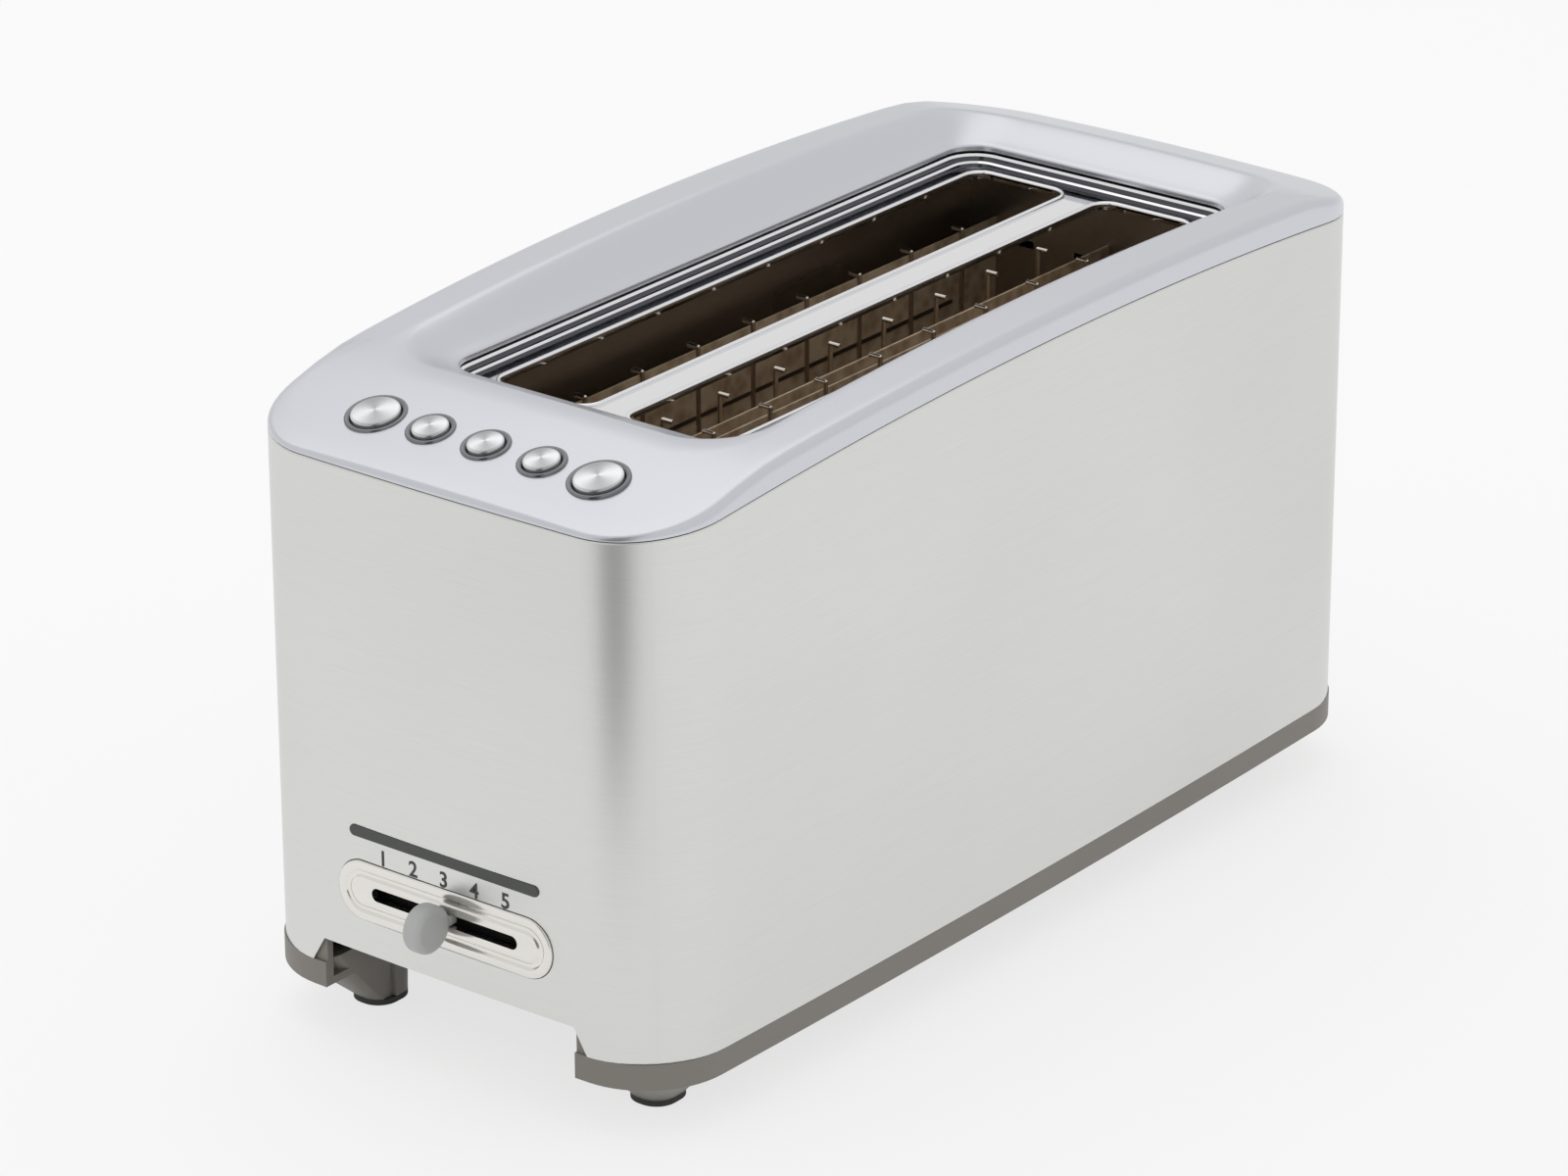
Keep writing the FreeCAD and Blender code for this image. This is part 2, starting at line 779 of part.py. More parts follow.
def bread_rack(side):
    """Rack that carries the slices: a spine with cross bars, and a tongue to the lift bracket."""
    x = side * slot_centre
    half = spine_wall / 2
    pieces = [block(x - half, x + half, slot_front + 3, slot_back - 3, rack_up - 5, rack_up - 0.5)]
    ends = (bracket_back, bulkhead_back + bulkhead_wall - 0.2)
    pieces.append(block(x - half, x + half, ends[0], ends[1], rack_up - 5, rack_up - 2))
    count = 12
    pitch = (slot_back - slot_front - 20) / (count - 1)
    for index in range(count):
        y = slot_front + 10 + index * pitch
        pieces.append(block(x - rack_half, x + rack_half, y - 1, y + 1, rack_up - 1.5, rack_up))
    return union(pieces)


def involute_points(teeth, phase):
    """Corner points of a spur gear about the origin, in its own plane; phase turns one tooth."""
    pitch_radius = module * teeth / 2
    base_radius = pitch_radius * math.cos(math.radians(20))
    tip = pitch_radius + addendum * module
    root = pitch_radius - dedendum * module
    roll = math.tan(math.radians(20)) - math.radians(20)
    half_tooth = (math.pi / 2 - backlash) / teeth
    points = []
    for tooth in range(teeth):
        middle = phase + 2 * math.pi * tooth / teeth
        flank = []
        start = max(base_radius, root)
        for step in range(5):
            radius = start + (tip - start) * step / 4
            lean = math.acos(base_radius / radius)
            angle = half_tooth + roll - (math.tan(lean) - lean)
            flank.append((radius, angle))
        gap_edge = flank[0][1] + 0.02
        side = [(root, gap_edge)] + flank
        for radius, angle in side:
            points.append((radius * math.cos(middle - angle), radius * math.sin(middle - angle)))
        for radius, angle in reversed(side):
            points.append((radius * math.cos(middle + angle), radius * math.sin(middle + angle)))
    return points


def gear(teeth, phase, x, z, y0, y1):
    points = [(x + u, z + v) for u, v in involute_points(teeth, phase)]
    return polygon_xz(points, y0, y1)


wheel_back = bracket_front - 0.6 - gear_width
wheel_front = wheel_back - gear_width - 1.0
plate_back = wheel_front - 0.5
plate_front = plate_back - plate_wall
motor_x = wheel_x + module * (wheel_teeth + motor_teeth) / 2


def compound_gear():
    """Large wheel driven by the motor pinion, and the small pinion that drives the rack."""
    wheel = gear(wheel_teeth, 0.0, wheel_x, wheel_z, wheel_front, wheel_front + gear_width)
    small = gear(pinion_teeth, math.pi, wheel_x, wheel_z, wheel_front + gear_width, wheel_back + gear_width)
    solid = wheel.fuse(small)
    start = Vector(wheel_x, wheel_front - 1, wheel_z)
    end = Vector(wheel_x, wheel_back + gear_width + 1, wheel_z)
    return solid.cut(rod(axle_radius + rod_fit, start, end))


def gear_axle():
    return rod(axle_radius, Vector(wheel_x, plate_front, wheel_z), Vector(wheel_x, wheel_back + gear_width, wheel_z))


def motor_pinion():
    solid = gear(motor_teeth, math.pi / motor_teeth, motor_x, wheel_z, wheel_front, wheel_front + gear_width)
    end = Vector(motor_x, wheel_front + gear_width + 1, wheel_z)
    return solid.cut(rod(shaft_radius, Vector(motor_x, wheel_front - 1, wheel_z), end))


def motor_shaft():
    start = Vector(motor_x, plate_front - motor_length + 4, wheel_z)
    return rod(shaft_radius, start, Vector(motor_x, wheel_front + gear_width, wheel_z))


def motor_screw_x():
    return [motor_x - 8.0, motor_x + 8.0]


def motor():
    front = plate_front - motor_length
    can = rod(motor_radius, Vector(motor_x, front, wheel_z), Vector(motor_x, plate_front, wheel_z))
    boss = rod(3.0, Vector(motor_x, plate_front, wheel_z), Vector(motor_x, plate_back, wheel_z))
    solid = can.fuse(boss)
    bore_start = Vector(motor_x, front + 3, wheel_z)
    solid = solid.cut(rod(shaft_radius + rod_fit, bore_start, Vector(motor_x, plate_back + 1, wheel_z)))
    for x in motor_screw_x():
        solid = solid.cut(rod(1.3, Vector(x, plate_front - 5, wheel_z), Vector(x, plate_front, wheel_z)))
    return solid


def motor_screws():
    screws = []
    for x in motor_screw_x():
        head_end = Vector(x, plate_back + 0.4, wheel_z)
        head = rod(2.2, Vector(x, plate_back, wheel_z), head_end)
        screws.append(head.fuse(rod(1.2, Vector(x, plate_front - 4, wheel_z), Vector(x, plate_back, wheel_z))))
    return Part.makeCompound(screws)


def motor_bracket():
    """Plate on the base's floor that holds the motor and the axle, tied to the front bulkhead."""
    top = rack_up + 16
    left = wheel_x - wheel_teeth * module / 2 - 6
    right = motor_x + motor_radius + 2
    plate = block(left, right, plate_front, plate_back, floor_top, top)
    rack_left = wheel_x - module * pinion_teeth / 2 - 7
    plate = plate.fuse(block(left, rack_left, plate_back, bulkhead_front, top - plate_wall, top))
    plate = plate.fuse(block(rack_left + 11, right, plate_back, bulkhead_front, top - plate_wall, top))
    plate = plate.removeSplitter()
    plate = plate.cut(rod(axle_radius, Vector(wheel_x, plate_front, wheel_z), Vector(wheel_x, plate_back, wheel_z)))
    plate = plate.cut(rod(3.2, Vector(motor_x, plate_front, wheel_z), Vector(motor_x, plate_back, wheel_z)))
    for x in motor_screw_x():
        plate = plate.cut(rod(1.3, Vector(x, plate_front, wheel_z), Vector(x, plate_back, wheel_z)))
    return plate


def lift_rack():
    """Toothed bar on the lift bracket, in mesh with the compound gear's small pinion."""
    pitch_x = wheel_x - module * pinion_teeth / 2
    pitch = math.pi * module
    low = wheel_z - 6.0
    high = wheel_z + lift_travel + 6.0
    root = pitch_x - dedendum * module
    tip = pitch_x + addendum * module
    lean = math.tan(math.radians(20))
    half = pitch / 4 - backlash * module / 2
    points = [(pitch_x - 5, high), (pitch_x - 5, low), (root, low)]
    count = int((high - low) / pitch) + 1
    for index in range(count):
        middle = wheel_z + pitch * (index - 1.5)
        if middle - pitch / 2 < low or middle + pitch / 2 > high:
            continue
        points.append((root, middle - half - dedendum * module * lean))
        points.append((tip, middle - half + addendum * module * lean))
        points.append((tip, middle + half - addendum * module * lean))
        points.append((root, middle + half + dedendum * module * lean))
    points.append((root, high))
    return polygon_xz(points, wheel_back, bracket_front)


def limit_switches():
    switches = []
    for z in (bracket_top - 3, bracket_top - lift_travel - 19):
        body = block(bracket_half + 2.5, bracket_half + 10.5, bulkhead_front - 11, bulkhead_front, z, z + 13)
        switches.append(body)
    return Part.makeCompound(switches)


plate_face = -half_length - plate_proud
flange_front = -half_length + wrap_wall + 0.7
flange_back = flange_front + 1.0


def slider_plate():
    """Pressed plate with a raised ring, its plug through the wrap and a flange behind it."""
    plug = stadium(plate_length, plate_height, plate_face, flange_front, slider_z)
    flange = stadium(plate_length + 6, plate_height + 6, flange_front, flange_back, slider_z)
    groove = stadium(plate_length - 7, plate_height - 7, plate_face, plate_face + 0.6, slider_z)
    groove = groove.cut(stadium(plate_length - 9, plate_height - 9, plate_face - 1, plate_face + 2, slider_z))
    slot = stadium(slider_slot, slider_slot_height, plate_face - 1, flange_back + 1, slider_z)
    return plug.fuse(flange).cut(groove).cut(slot)


def indicator_window():
    plug = stadium(window_length, window_height, -half_length - 0.15, flange_front, window_z)
    return plug.fuse(stadium(window_length + 4, window_height + 2.4, flange_front, flange_back, window_z))


wiper_front = flange_back + 0.1


def browning_knob():
    """Thumb fin: a disc on edge with a neck and a flat stem through the slot."""
    tip = -half_length - knob_projection
    radius = knob_height / 2
    half = knob_width / 2
    fin = rod(radius, Vector(-half, tip + radius, slider_z), Vector(half, tip + radius, slider_z))
    fin = fin.makeFillet(1.8, fin.Edges)
    neck_back = plate_face - 0.4
    neck = block(-half + 1, half - 1, tip + radius, neck_back, slider_z - 5, slider_z + 5)
    stem_half = stem_width / 2
    stem = block(-stem_half, stem_half, neck_back, wiper_front, slider_z - 1.7, slider_z + 1.7)
    return union([fin, neck, stem])


pot_front = board_front - 8.0


def potentiometer_wiper():
    stem_half = stem_width / 2
    return block(-stem_half, stem_half, wiper_front, pot_front + 3.0, slider_z - 0.9, slider_z + 0.9)


def slide_potentiometer():
    half = slider_slot / 2 + 8
    body = block(-half, half, pot_front, board_front, slider_z - 5, slider_z + 5)
    reach = slider_travel + stem_width / 2 + 0.5
    return body.cut(block(-reach, reach, pot_front - 1, pot_front + 4, slider_z - 1.3, slider_z + 1.3))


def control_board():
    back = board_front + 1.6
    sheet_board = block(-48, 48, board_front, back, board_bottom, wheel_z - motor_radius - 4)
    relay = block(-38, -19, back, back + 15, 66, 81)
    chip = block(-6, 8, back, back + 2, 60, 74)
    capacitor = rod(5, Vector(28, back, 66), Vector(28, back + 12, 66))
    return Part.makeCompound([sheet_board, relay, chip, capacitor])


def button_bezel(index):
    radius = button_radii[index]
    ring = radius + bezel_rim
    flange = Part.makeCylinder(ring, 1.2, Vector(0, 0, -0.5))
    sleeve = Part.makeCylinder(ring - 1.0, 5.0, Vector(0, 0, -5.0))
    bore = Part.makeCylinder(radius + bezel_gap, 10, Vector(0, 0, -7))
    return place_on_panel(flange.fuse(sleeve).cut(bore).removeSplitter(), button_x(index))


def button_cap(index):
    radius = button_radii[index]
    cap = Part.makeCylinder(radius, button_height + 3.0, Vector(0, 0, -3.0))
    top = [edge for edge in cap.Edges if edge.Length > 5 and edge.CenterOfMass.z > 0]
    cap = cap.makeFillet(0.6, top[:1])
    stem = Part.makeCylinder(2.0, button_stem - 3.0, Vector(0, 0, -button_stem))
    return place_on_panel(cap.fuse(stem), button_x(index))


def button_board():
    solids = [place_on_panel(block(-board_half, board_half, -9, 9, board_top - board_wall, board_top), 0)]
    for index in range(len(button_radii)):
        x = button_x(index)
        low = place_on_panel(block(x - 3, x + 3, -3, 3, board_top, board_top + 1.7), 0)
        plunger = place_on_panel(Part.makeCylinder(1.5, 0.4, Vector(x, 0, board_top + 1.7)), 0)
        solids.append(low.fuse(plunger))
    return Part.makeCompound(solids)


os.makedirs("parts", exist_ok=True)

save("top_cover", top_cover())
save("slot_surround", slot_surround())
save("steel_wrap", steel_wrap())
save("base", base())
save("rubber_feet", rubber_feet())
save("base_screws", base_screws())
save("crumb_tray", crumb_tray())
save("crumb_tray_handle", crumb_tray_handle())
save("cord_bush", cord_bush())
save("terminal_block", terminal_block())

save("front_bulkhead", front_bulkhead())
save("rear_bulkhead", bulkhead(bulkhead_back))
for side, side_name in ((-1, "left"), (1, "right")):
    save("reflector_" + side_name, reflector(side))
    save("guide_rod_" + side_name, guide_rod(side))
    save("bread_rack_" + side_name, bread_rack(side))
    for place, place_name in ((-1, "inner"), (1, "outer")):
        ending = side_name + "_" + place_name
        save("heating_card_" + ending, heating_card(side, place))
        save("heating_ribbons_" + ending, heating_ribbons(side, place))
        save("bread_guard_" + ending, bread_guard(side, place))

save("lift_bracket", lift_bracket())
save("lift_rack", lift_rack())
save("compound_gear", compound_gear())
save("gear_axle", gear_axle())
save("motor_pinion", motor_pinion())
save("motor_shaft", motor_shaft())
save("motor", motor())
save("motor_screws", motor_screws())
save("motor_bracket", motor_bracket())
save("limit_switches", limit_switches())

save("slider_plate", slider_plate())
save("indicator_window", indicator_window())
save("browning_knob", browning_knob())
save("potentiometer_wiper", potentiometer_wiper())
save("slide_potentiometer", slide_potentiometer())
save("control_board", control_board())
for index, name in enumerate(button_names):
    save("button_bezel_" + name, button_bezel(index))
    save("button_cap_" + name, button_cap(index))
save("button_board", button_board())
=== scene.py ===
import math

import bmesh
import bpy
from mathutils import Matrix, Vector


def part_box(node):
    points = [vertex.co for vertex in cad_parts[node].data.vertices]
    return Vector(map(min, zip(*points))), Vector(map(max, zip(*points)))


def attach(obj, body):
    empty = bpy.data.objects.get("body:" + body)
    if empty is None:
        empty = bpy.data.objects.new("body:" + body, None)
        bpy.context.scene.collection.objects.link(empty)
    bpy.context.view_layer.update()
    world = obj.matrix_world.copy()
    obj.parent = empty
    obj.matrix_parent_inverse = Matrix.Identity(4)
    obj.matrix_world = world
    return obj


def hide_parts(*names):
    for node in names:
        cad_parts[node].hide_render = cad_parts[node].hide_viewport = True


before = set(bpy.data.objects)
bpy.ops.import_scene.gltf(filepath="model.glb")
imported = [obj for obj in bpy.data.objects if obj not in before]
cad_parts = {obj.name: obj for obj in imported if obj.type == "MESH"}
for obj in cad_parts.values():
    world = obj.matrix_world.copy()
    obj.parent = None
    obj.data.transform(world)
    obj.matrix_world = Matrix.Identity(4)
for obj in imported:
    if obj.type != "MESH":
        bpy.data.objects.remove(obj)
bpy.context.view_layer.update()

MM = 0.001


# ---------------------------------------------------------------------------
# Steel body shell. One sheet of stainless steel, brushed along its length,
# wrapped round the toaster and hemmed where it meets the cover and the base.
# The four sides are bowed a little and the corners are rolled.

wrap_low, wrap_high = (Vector(corner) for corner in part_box("steel_wrap"))
half_width = (wrap_high.x - wrap_low.x) / 2
half_length = (wrap_high.y - wrap_low.y) / 2
middle_y = (wrap_high.y + wrap_low.y) / 2
corner_radius = 29.5 * MM
side_bow = 2.9 * MM
end_bow = 1.4 * MM
seam_front = 193.0 * MM
seam_middle = 205.0 * MM
seam_back = 195.7 * MM


def seam_height(y):
    """Height of the arched seam at a place along the toaster."""
    along = (y - middle_y) / half_length
    rise_front = seam_middle - seam_front
    rise_back = seam_middle - seam_back
    return seam_middle + (rise_front - rise_back) / 2 * along - (rise_front + rise_back) / 2 * along ** 2


def start_loop(bm, side_cuts=28, end_cuts=18, corner_segments=12):
    """The body's plan as one loop of edges. Each vertex remembers its unbowed place as its home."""
    bmesh.ops.create_grid(bm, x_segments=1, y_segments=1, size=1.0)
    bmesh.ops.scale(bm, vec=(half_width, half_length, 1), verts=bm.verts)
    bmesh.ops.bevel(
        bm, geom=bm.verts[:] + bm.edges[:], offset=corner_radius, affect="VERTICES",
        segments=corner_segments, profile=0.5, material=-1,
    )
    bmesh.ops.delete(bm, geom=bm.faces[:], context="FACES_ONLY")
    for cuts, axis in ((side_cuts, 1), (end_cuts, 0)):
        long_edges = [
            e for e in bm.edges if abs(e.verts[0].co[axis] - e.verts[1].co[axis]) > 2 * corner_radius
        ]
        bmesh.ops.subdivide_edges(bm, edges=long_edges, cuts=cuts)
    home = bm.verts.layers.float_vector.new("home")
    for v in bm.verts:
        v[home] = v.co
    return bm.edges[:]


def on_plan(home, half_x, front, back, radius):
    """The place on another rounded rectangle that answers to a home place on the body's plan."""
    flat_x = half_width - corner_radius
    flat_y = half_length - corner_radius
    turn_x = max(abs(home.x) - flat_x, 0) / corner_radius
    turn_y = max(abs(home.y) - flat_y, 0) / corner_radius
    along_x = min(abs(home.x) / flat_x, 1)
    along_y = min(abs(home.y) / flat_y, 1)
    x = (half_x - radius) * along_x + radius * turn_x
    y = ((back - front) / 2 - radius) * along_y + radius * turn_y
    return Vector((math.copysign(x, home.x), (front + back) / 2 + math.copysign(y, home.y), 0))


def body_plan(home, inset=0.0):
    """The bowed outline of the body, set in all round."""
    place = on_plan(
        home, half_width - inset, middle_y - half_length + inset, middle_y + half_length - inset,
        corner_radius - inset,
    )
    along = (place.y - middle_y) / half_length
    across = place.x / half_width
    place.x -= math.copysign(side_bow * along ** 2, place.x) * min(abs(across) * 1.2, 1)
    place.y -= math.copysign(end_bow * across ** 2, along) * min(abs(along) * 1.2, 1)
    return place


def extend(bm, edges, where):
    """Extrudes a loop of edges and puts each new vertex where its home says."""
    home = bm.verts.layers.float_vector["home"]
    made = bmesh.ops.extrude_edge_only(bm, edges=edges)["geom"]
    fresh = {item for item in made if isinstance(item, bmesh.types.BMVert)}
    for v in fresh:
        v.co = where(v[home])
    return [e for e in bm.edges if e.verts[0] in fresh and e.verts[1] in fresh]


def close_ring(bm, first, last):
    """Joins the last loop of a hollow section to its first, and turns the faces outwards."""
    bmesh.ops.bridge_loops(bm, edges=first + last)
    bmesh.ops.recalc_face_normals(bm, faces=bm.faces[:])


def finish_piece(bm, name, body, material, smooth=True):
    """Makes the object, gives it its material and lets it ride on its CAD body."""
    mesh = bpy.data.meshes.new(name)
    bm.to_mesh(mesh)
    bm.free()
    piece = bpy.data.objects.new(name, mesh)
    bpy.context.scene.collection.objects.link(piece)
    if smooth:
        mesh.shade_smooth()
    mesh.materials.append(material)
    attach(piece, body)
    return piece


def cut_away(piece, cutters):
    """Cuts the cutters' shapes out of the piece."""
    for cutter in cutters:
        bpy.context.view_layer.objects.active = piece
        cut = piece.modifiers.new("cut", "BOOLEAN")
        cut.operation = "DIFFERENCE"
        cut.solver = "EXACT"
        cut.object = cutter
        bpy.ops.object.modifier_apply(modifier=cut.name)
        bpy.data.objects.remove(cutter)


def crisp(piece, angle=35):
    """Keeps edges sharper than the angle and smooths the rest."""
    piece.data.set_sharp_from_angle(angle=math.radians(angle))


def cutter(bm, name="cutter"):
    mesh = bpy.data.meshes.new(name)
    bm.to_mesh(mesh)
    bm.free()
    tool = bpy.data.objects.new(name, mesh)
    bpy.context.scene.collection.objects.link(tool)
    return tool


def node_maker(name):
    """A new material with its node tree, its Principled shader and a function that adds nodes."""
    material = bpy.data.materials.new(name)
    material.use_nodes = True
    tree = material.node_tree
    shader = tree.nodes["Principled BSDF"]

    def add(kind, inputs=None, **settings):
        node = tree.nodes.new(kind)
        for key, value in settings.items():
            setattr(node, key, value)
        for key, value in (inputs or {}).items():
            if isinstance(value, bpy.types.NodeSocket):
                tree.links.new(value, node.inputs[key])
            else:
                node.inputs[key].default_value = value
        return node

    return material, tree, shader, add


def brushed_metal(name, colour, roughness, grain, stretch, depth=0.02, anisotropy=0.5, patch=0.04):
    """Metal with fine straight grain. stretch gives the grain's frequency along X, Y and Z."""
    material, tree, shader, add = node_maker(name)
    coords = add("ShaderNodeTexCoord")
    lines = add("ShaderNodeMapping", {"Vector": coords.outputs["Object"], "Scale": stretch})
    fine = add("ShaderNodeTexNoise", {
        "Vector": lines.outputs[0], "Scale": grain, "Detail": 4.0, "Roughness": 0.7,
    })
    cloud = add("ShaderNodeTexNoise", {"Vector": coords.outputs["Object"], "Scale": 9.0, "Detail": 2.0})
    tint = add("ShaderNodeMapRange", {
        "Value": fine.outputs["Fac"], "From Min": 0.25, "From Max": 0.75,
        "To Min": 1 - patch, "To Max": 1 + patch,
    })
    tone = add("ShaderNodeMix", data_type="RGBA", blend_type="MULTIPLY")
    tone.inputs[0].default_value = 1.0
    tone.inputs[6].default_value = (*colour, 1)
    tree.links.new(tint.outputs[0], tone.inputs[7])
    tree.links.new(tone.outputs[2], shader.inputs["Base Color"])
    rough = add("ShaderNodeMapRange", {
        "Value": cloud.outputs["Fac"], "From Min": 0.3, "From Max": 0.7,
        "To Min": roughness - 0.03, "To Max": roughness + 0.03,
    })
    tree.links.new(rough.outputs[0], shader.inputs["Roughness"])
    bump = add("ShaderNodeBump", {"Height": fine.outputs["Fac"], "Strength": depth, "Distance": 0.0002})
    tree.links.new(bump.outputs[0], shader.inputs["Normal"])
    shader.inputs["Metallic"].default_value = 1.0
    shader.inputs["Anisotropic"].default_value = anisotropy
    return material


wrap_steel = brushed_metal(
    "wrap_steel", (0.74, 0.745, 0.72), 0.34, 1.0, (40, 40, 5200), anisotropy=0.6,
)

wrap_wall = 0.9 * MM
arch_top = 33.5 * MM
arch_half = 50.0 * MM
arch_flare = 6.0 * MM

bm = bmesh.new()
loop = start_loop(bm)
home = bm.verts.layers.float_vector["home"]
for v in bm.verts:
    v.co = body_plan(v[home]) + Vector((0, 0, wrap_low.z))
inner_low = extend(bm, loop, lambda at: body_plan(at, wrap_wall) + Vector((0, 0, wrap_low.z)))


def wrap_top(at, inset, drop):
    place = body_plan(at, inset)
    place.z = seam_height(place.y) - drop
    return place


inner_top = extend(bm, inner_low, lambda at: wrap_top(at, wrap_wall, 0.3 * MM))
hem = extend(bm, inner_top, lambda at: wrap_top(at, 0.35 * MM, 0.3 * MM))
rim = extend(bm, hem, lambda at: wrap_top(at, 0.0, 0.7 * MM))
bands = 6
for band in range(1, bands):
    share = band / bands

    def on_wall(at):
        place = wrap_top(at, 0.0, 0.7 * MM)
        place.z += (wrap_low.z - place.z) * share
        return place

    rim = extend(bm, rim, on_wall)
close_ring(bm, rim, loop)


def arch_cutter():
    """The shallow arch between the feet, cut through the front and the back together."""
    shape = bmesh.new()
    bmesh.ops.create_cube(shape, size=1.0)
    arch_height = arch_top - wrap_low.z + 10 * MM
    bmesh.ops.scale(shape, vec=(2 * arch_half, 3 * half_length, arch_height), verts=shape.verts)
    bmesh.ops.translate(shape, vec=(0, middle_y, (arch_top + wrap_low.z - 10 * MM) / 2), verts=shape.verts)
    for v in shape.verts:
        if v.co.z < wrap_low.z:
            v.co.x += math.copysign(arch_flare * 1.8, v.co.x)
    return cutter(shape)


def stadium(shape, length, height, x=0.0, z=0.0, y=0.0, segments=12):
    """A flat face with round ends, standing across the toaster's front."""
    made = bmesh.ops.create_circle(shape, cap_ends=True, segments=4 * segments, radius=height / 2)["verts"]
    bmesh.ops.rotate(shape, verts=made, matrix=Matrix.Rotation(math.radians(90), 3, "X"))
    for v in made:
        v.co.x += math.copysign((length - height) / 2, v.co.x)
    bmesh.ops.translate(shape, vec=(x, y, z), verts=made)
    return made


def stadium_cutter(length, height, z, y, depth):
    shape = bmesh.new()
    made = stadium(shape, length, height, z=z, y=y)
    face = [f for f in shape.faces]
    pulled = bmesh.ops.extrude_face_region(shape, geom=face)["geom"]
    far_end = [v for v in pulled if isinstance(v, bmesh.types.BMVert)]
    bmesh.ops.translate(shape, vec=(0, depth, 0), verts=far_end)
    bmesh.ops.recalc_face_normals(shape, faces=shape.faces[:])
    return cutter(shape)


front_face = middle_y - half_length
plate_low, plate_high = (Vector(corner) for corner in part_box("slider_plate"))
plate_z = (plate_low.z + plate_high.z) / 2
window_low, window_high = (Vector(corner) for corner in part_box("indicator_window"))
window_z = (window_low.z + window_high.z) / 2
plate_length = 85.0 * MM
plate_height = 20.0 * MM
window_length = 75.0 * MM
window_height = 3.6 * MM

wrap = finish_piece(bm, "body_shell", "housing", wrap_steel)
cut_away(wrap, [
    arch_cutter(),
    stadium_cutter(plate_length + 0.5 * MM, plate_height + 0.5 * MM, plate_z, front_face - 5 * MM, 12 * MM),
    stadium_cutter(
        window_length + 0.2 * MM, window_height + 0.2 * MM, window_z, front_face - 5 * MM, 12 * MM,
    ),
])
crisp(wrap)
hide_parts("steel_wrap")


# ---------------------------------------------------------------------------
# Top cover. One die casting with a satin silver finish. Its crowned top slopes
# down to the button panel in front, and dips like a dish towards the opening.

cover_metal = brushed_metal(
    "cover_metal", (0.66, 0.67, 0.71), 0.30, 1.0, (900, 900, 900), depth=0.006, anisotropy=0.0, patch=0.01,
)
panel_slope = math.radians(14.5)
crest_slope = math.radians(4.6)
back_crest_slope = math.radians(3.6)
back_slope = math.radians(15.0)
panel_run = 40.0 * MM
shoulder_run = 20.4 * MM
crest_run = 269.6 * MM
cover_rise_front = 2.4 * MM
crown_radius = 2.0
edge_round = 3.2 * MM
cover_wall = 2.6 * MM


def crown_height(x, y):
    """Height of the cover's crowned top: a chain of slopes that turn evenly from one to the next."""
    left = y - middle_y + half_length
    z = seam_front + cover_rise_front - 0.12 * MM
    for run, start, end in (
        (panel_run, panel_slope, panel_slope),
        (shoulder_run, panel_slope, crest_slope),
        (crest_run, crest_slope, -back_crest_slope),
        (shoulder_run, -back_crest_slope, -back_slope),
        (half_length, -back_slope, -back_slope),
    ):
        step = min(left, run)
        turn = step / run
        z += step * math.tan(start + (end - start) * turn / 2)
        left -= step
    return z - x ** 2 / (2 * crown_radius)


opening = {"half_x": 55.5 * MM, "front": middle_y - 122 * MM, "back": middle_y + 149 * MM, "radius": 12 * MM}
crest = {"half_x": 70.0 * MM, "front": middle_y - 139 * MM, "back": middle_y + 165 * MM, "radius": 25 * MM}
lip_height = 201.0 * MM
lip_wall = 2.0 * MM


def cover_edge(at, turn):
    """The rounded outer edge: turn runs from 0 at the wall to 1 on the top."""
    outer = body_plan(at)
    room = crown_height(outer.x, outer.y) - seam_height(outer.y)
    radius = min(edge_round, room * 0.75)
    angle = turn * math.pi / 2
    place = body_plan(at, radius * (1 - math.cos(angle)))
    place.z = crown_height(place.x, place.y) - radius * (1 - math.sin(angle))
    return place


def cover_band(at, share):
    """Between the rounded edge and the crest of the dish."""
    place = cover_edge(at, 1).lerp(on_plan(at, **crest), share)
    place.z = crown_height(place.x, place.y)
    return place


def cover_dish(at, share):
    """From the crest down to the opening: soft at the crest, steeper on the way in."""
    top = on_plan(at, **crest)
    top.z = crown_height(top.x, top.y)
    place = top.lerp(on_plan(at, **opening), share)
    dip = 0.45 * share + 0.55 * share * share * (3 - 2 * share)
    place.z = top.z + (lip_height - top.z) * dip
    return place


def grown_opening(at, grow, z):
    place = on_plan(
        at, opening["half_x"] + grow, opening["front"] - grow, opening["back"] + grow,
        opening["radius"] + grow,
    )
    place.z = z
    return place


def cover_under(at, share):
    """Underside of the casting, one wall below the top."""
    place = body_plan(at, cover_wall).lerp(on_plan(at, **crest), share)
    room = crown_height(place.x, place.y) - cover_wall
    place.z = max(room, seam_height(place.y) + 0.2 * MM)
    return place


bm = bmesh.new()
loop = start_loop(bm)
home = bm.verts.layers.float_vector["home"]


def on_seam(at, inset, lift):
    place = body_plan(at, inset)
    place.z = seam_height(place.y) + lift
    return place


for v in bm.verts:
    v.co = on_seam(v[home], cover_wall, 0)
ring = extend(bm, loop, lambda at: on_seam(at, 0.5 * MM, 0))
ring = extend(bm, ring, lambda at: on_seam(at, 0.12 * MM, 0.12 * MM))
ring = extend(bm, ring, lambda at: on_seam(at, 0, 0.5 * MM))
for step in range(7):
    ring = extend(bm, ring, lambda at: cover_edge(at, step / 6))
for step in range(1, 7):
    ring = extend(bm, ring, lambda at: cover_band(at, step / 6))
for step in range(1, 10):
    ring = extend(bm, ring, lambda at: cover_dish(at, step / 9))
ring = extend(bm, ring, lambda at: grown_opening(at, -0.35 * MM, lip_height - 0.25 * MM))
ring = extend(bm, ring, lambda at: grown_opening(at, -0.5 * MM, lip_height - 0.7 * MM))
ring = extend(bm, ring, lambda at: grown_opening(at, -0.5 * MM, lip_height - lip_wall))
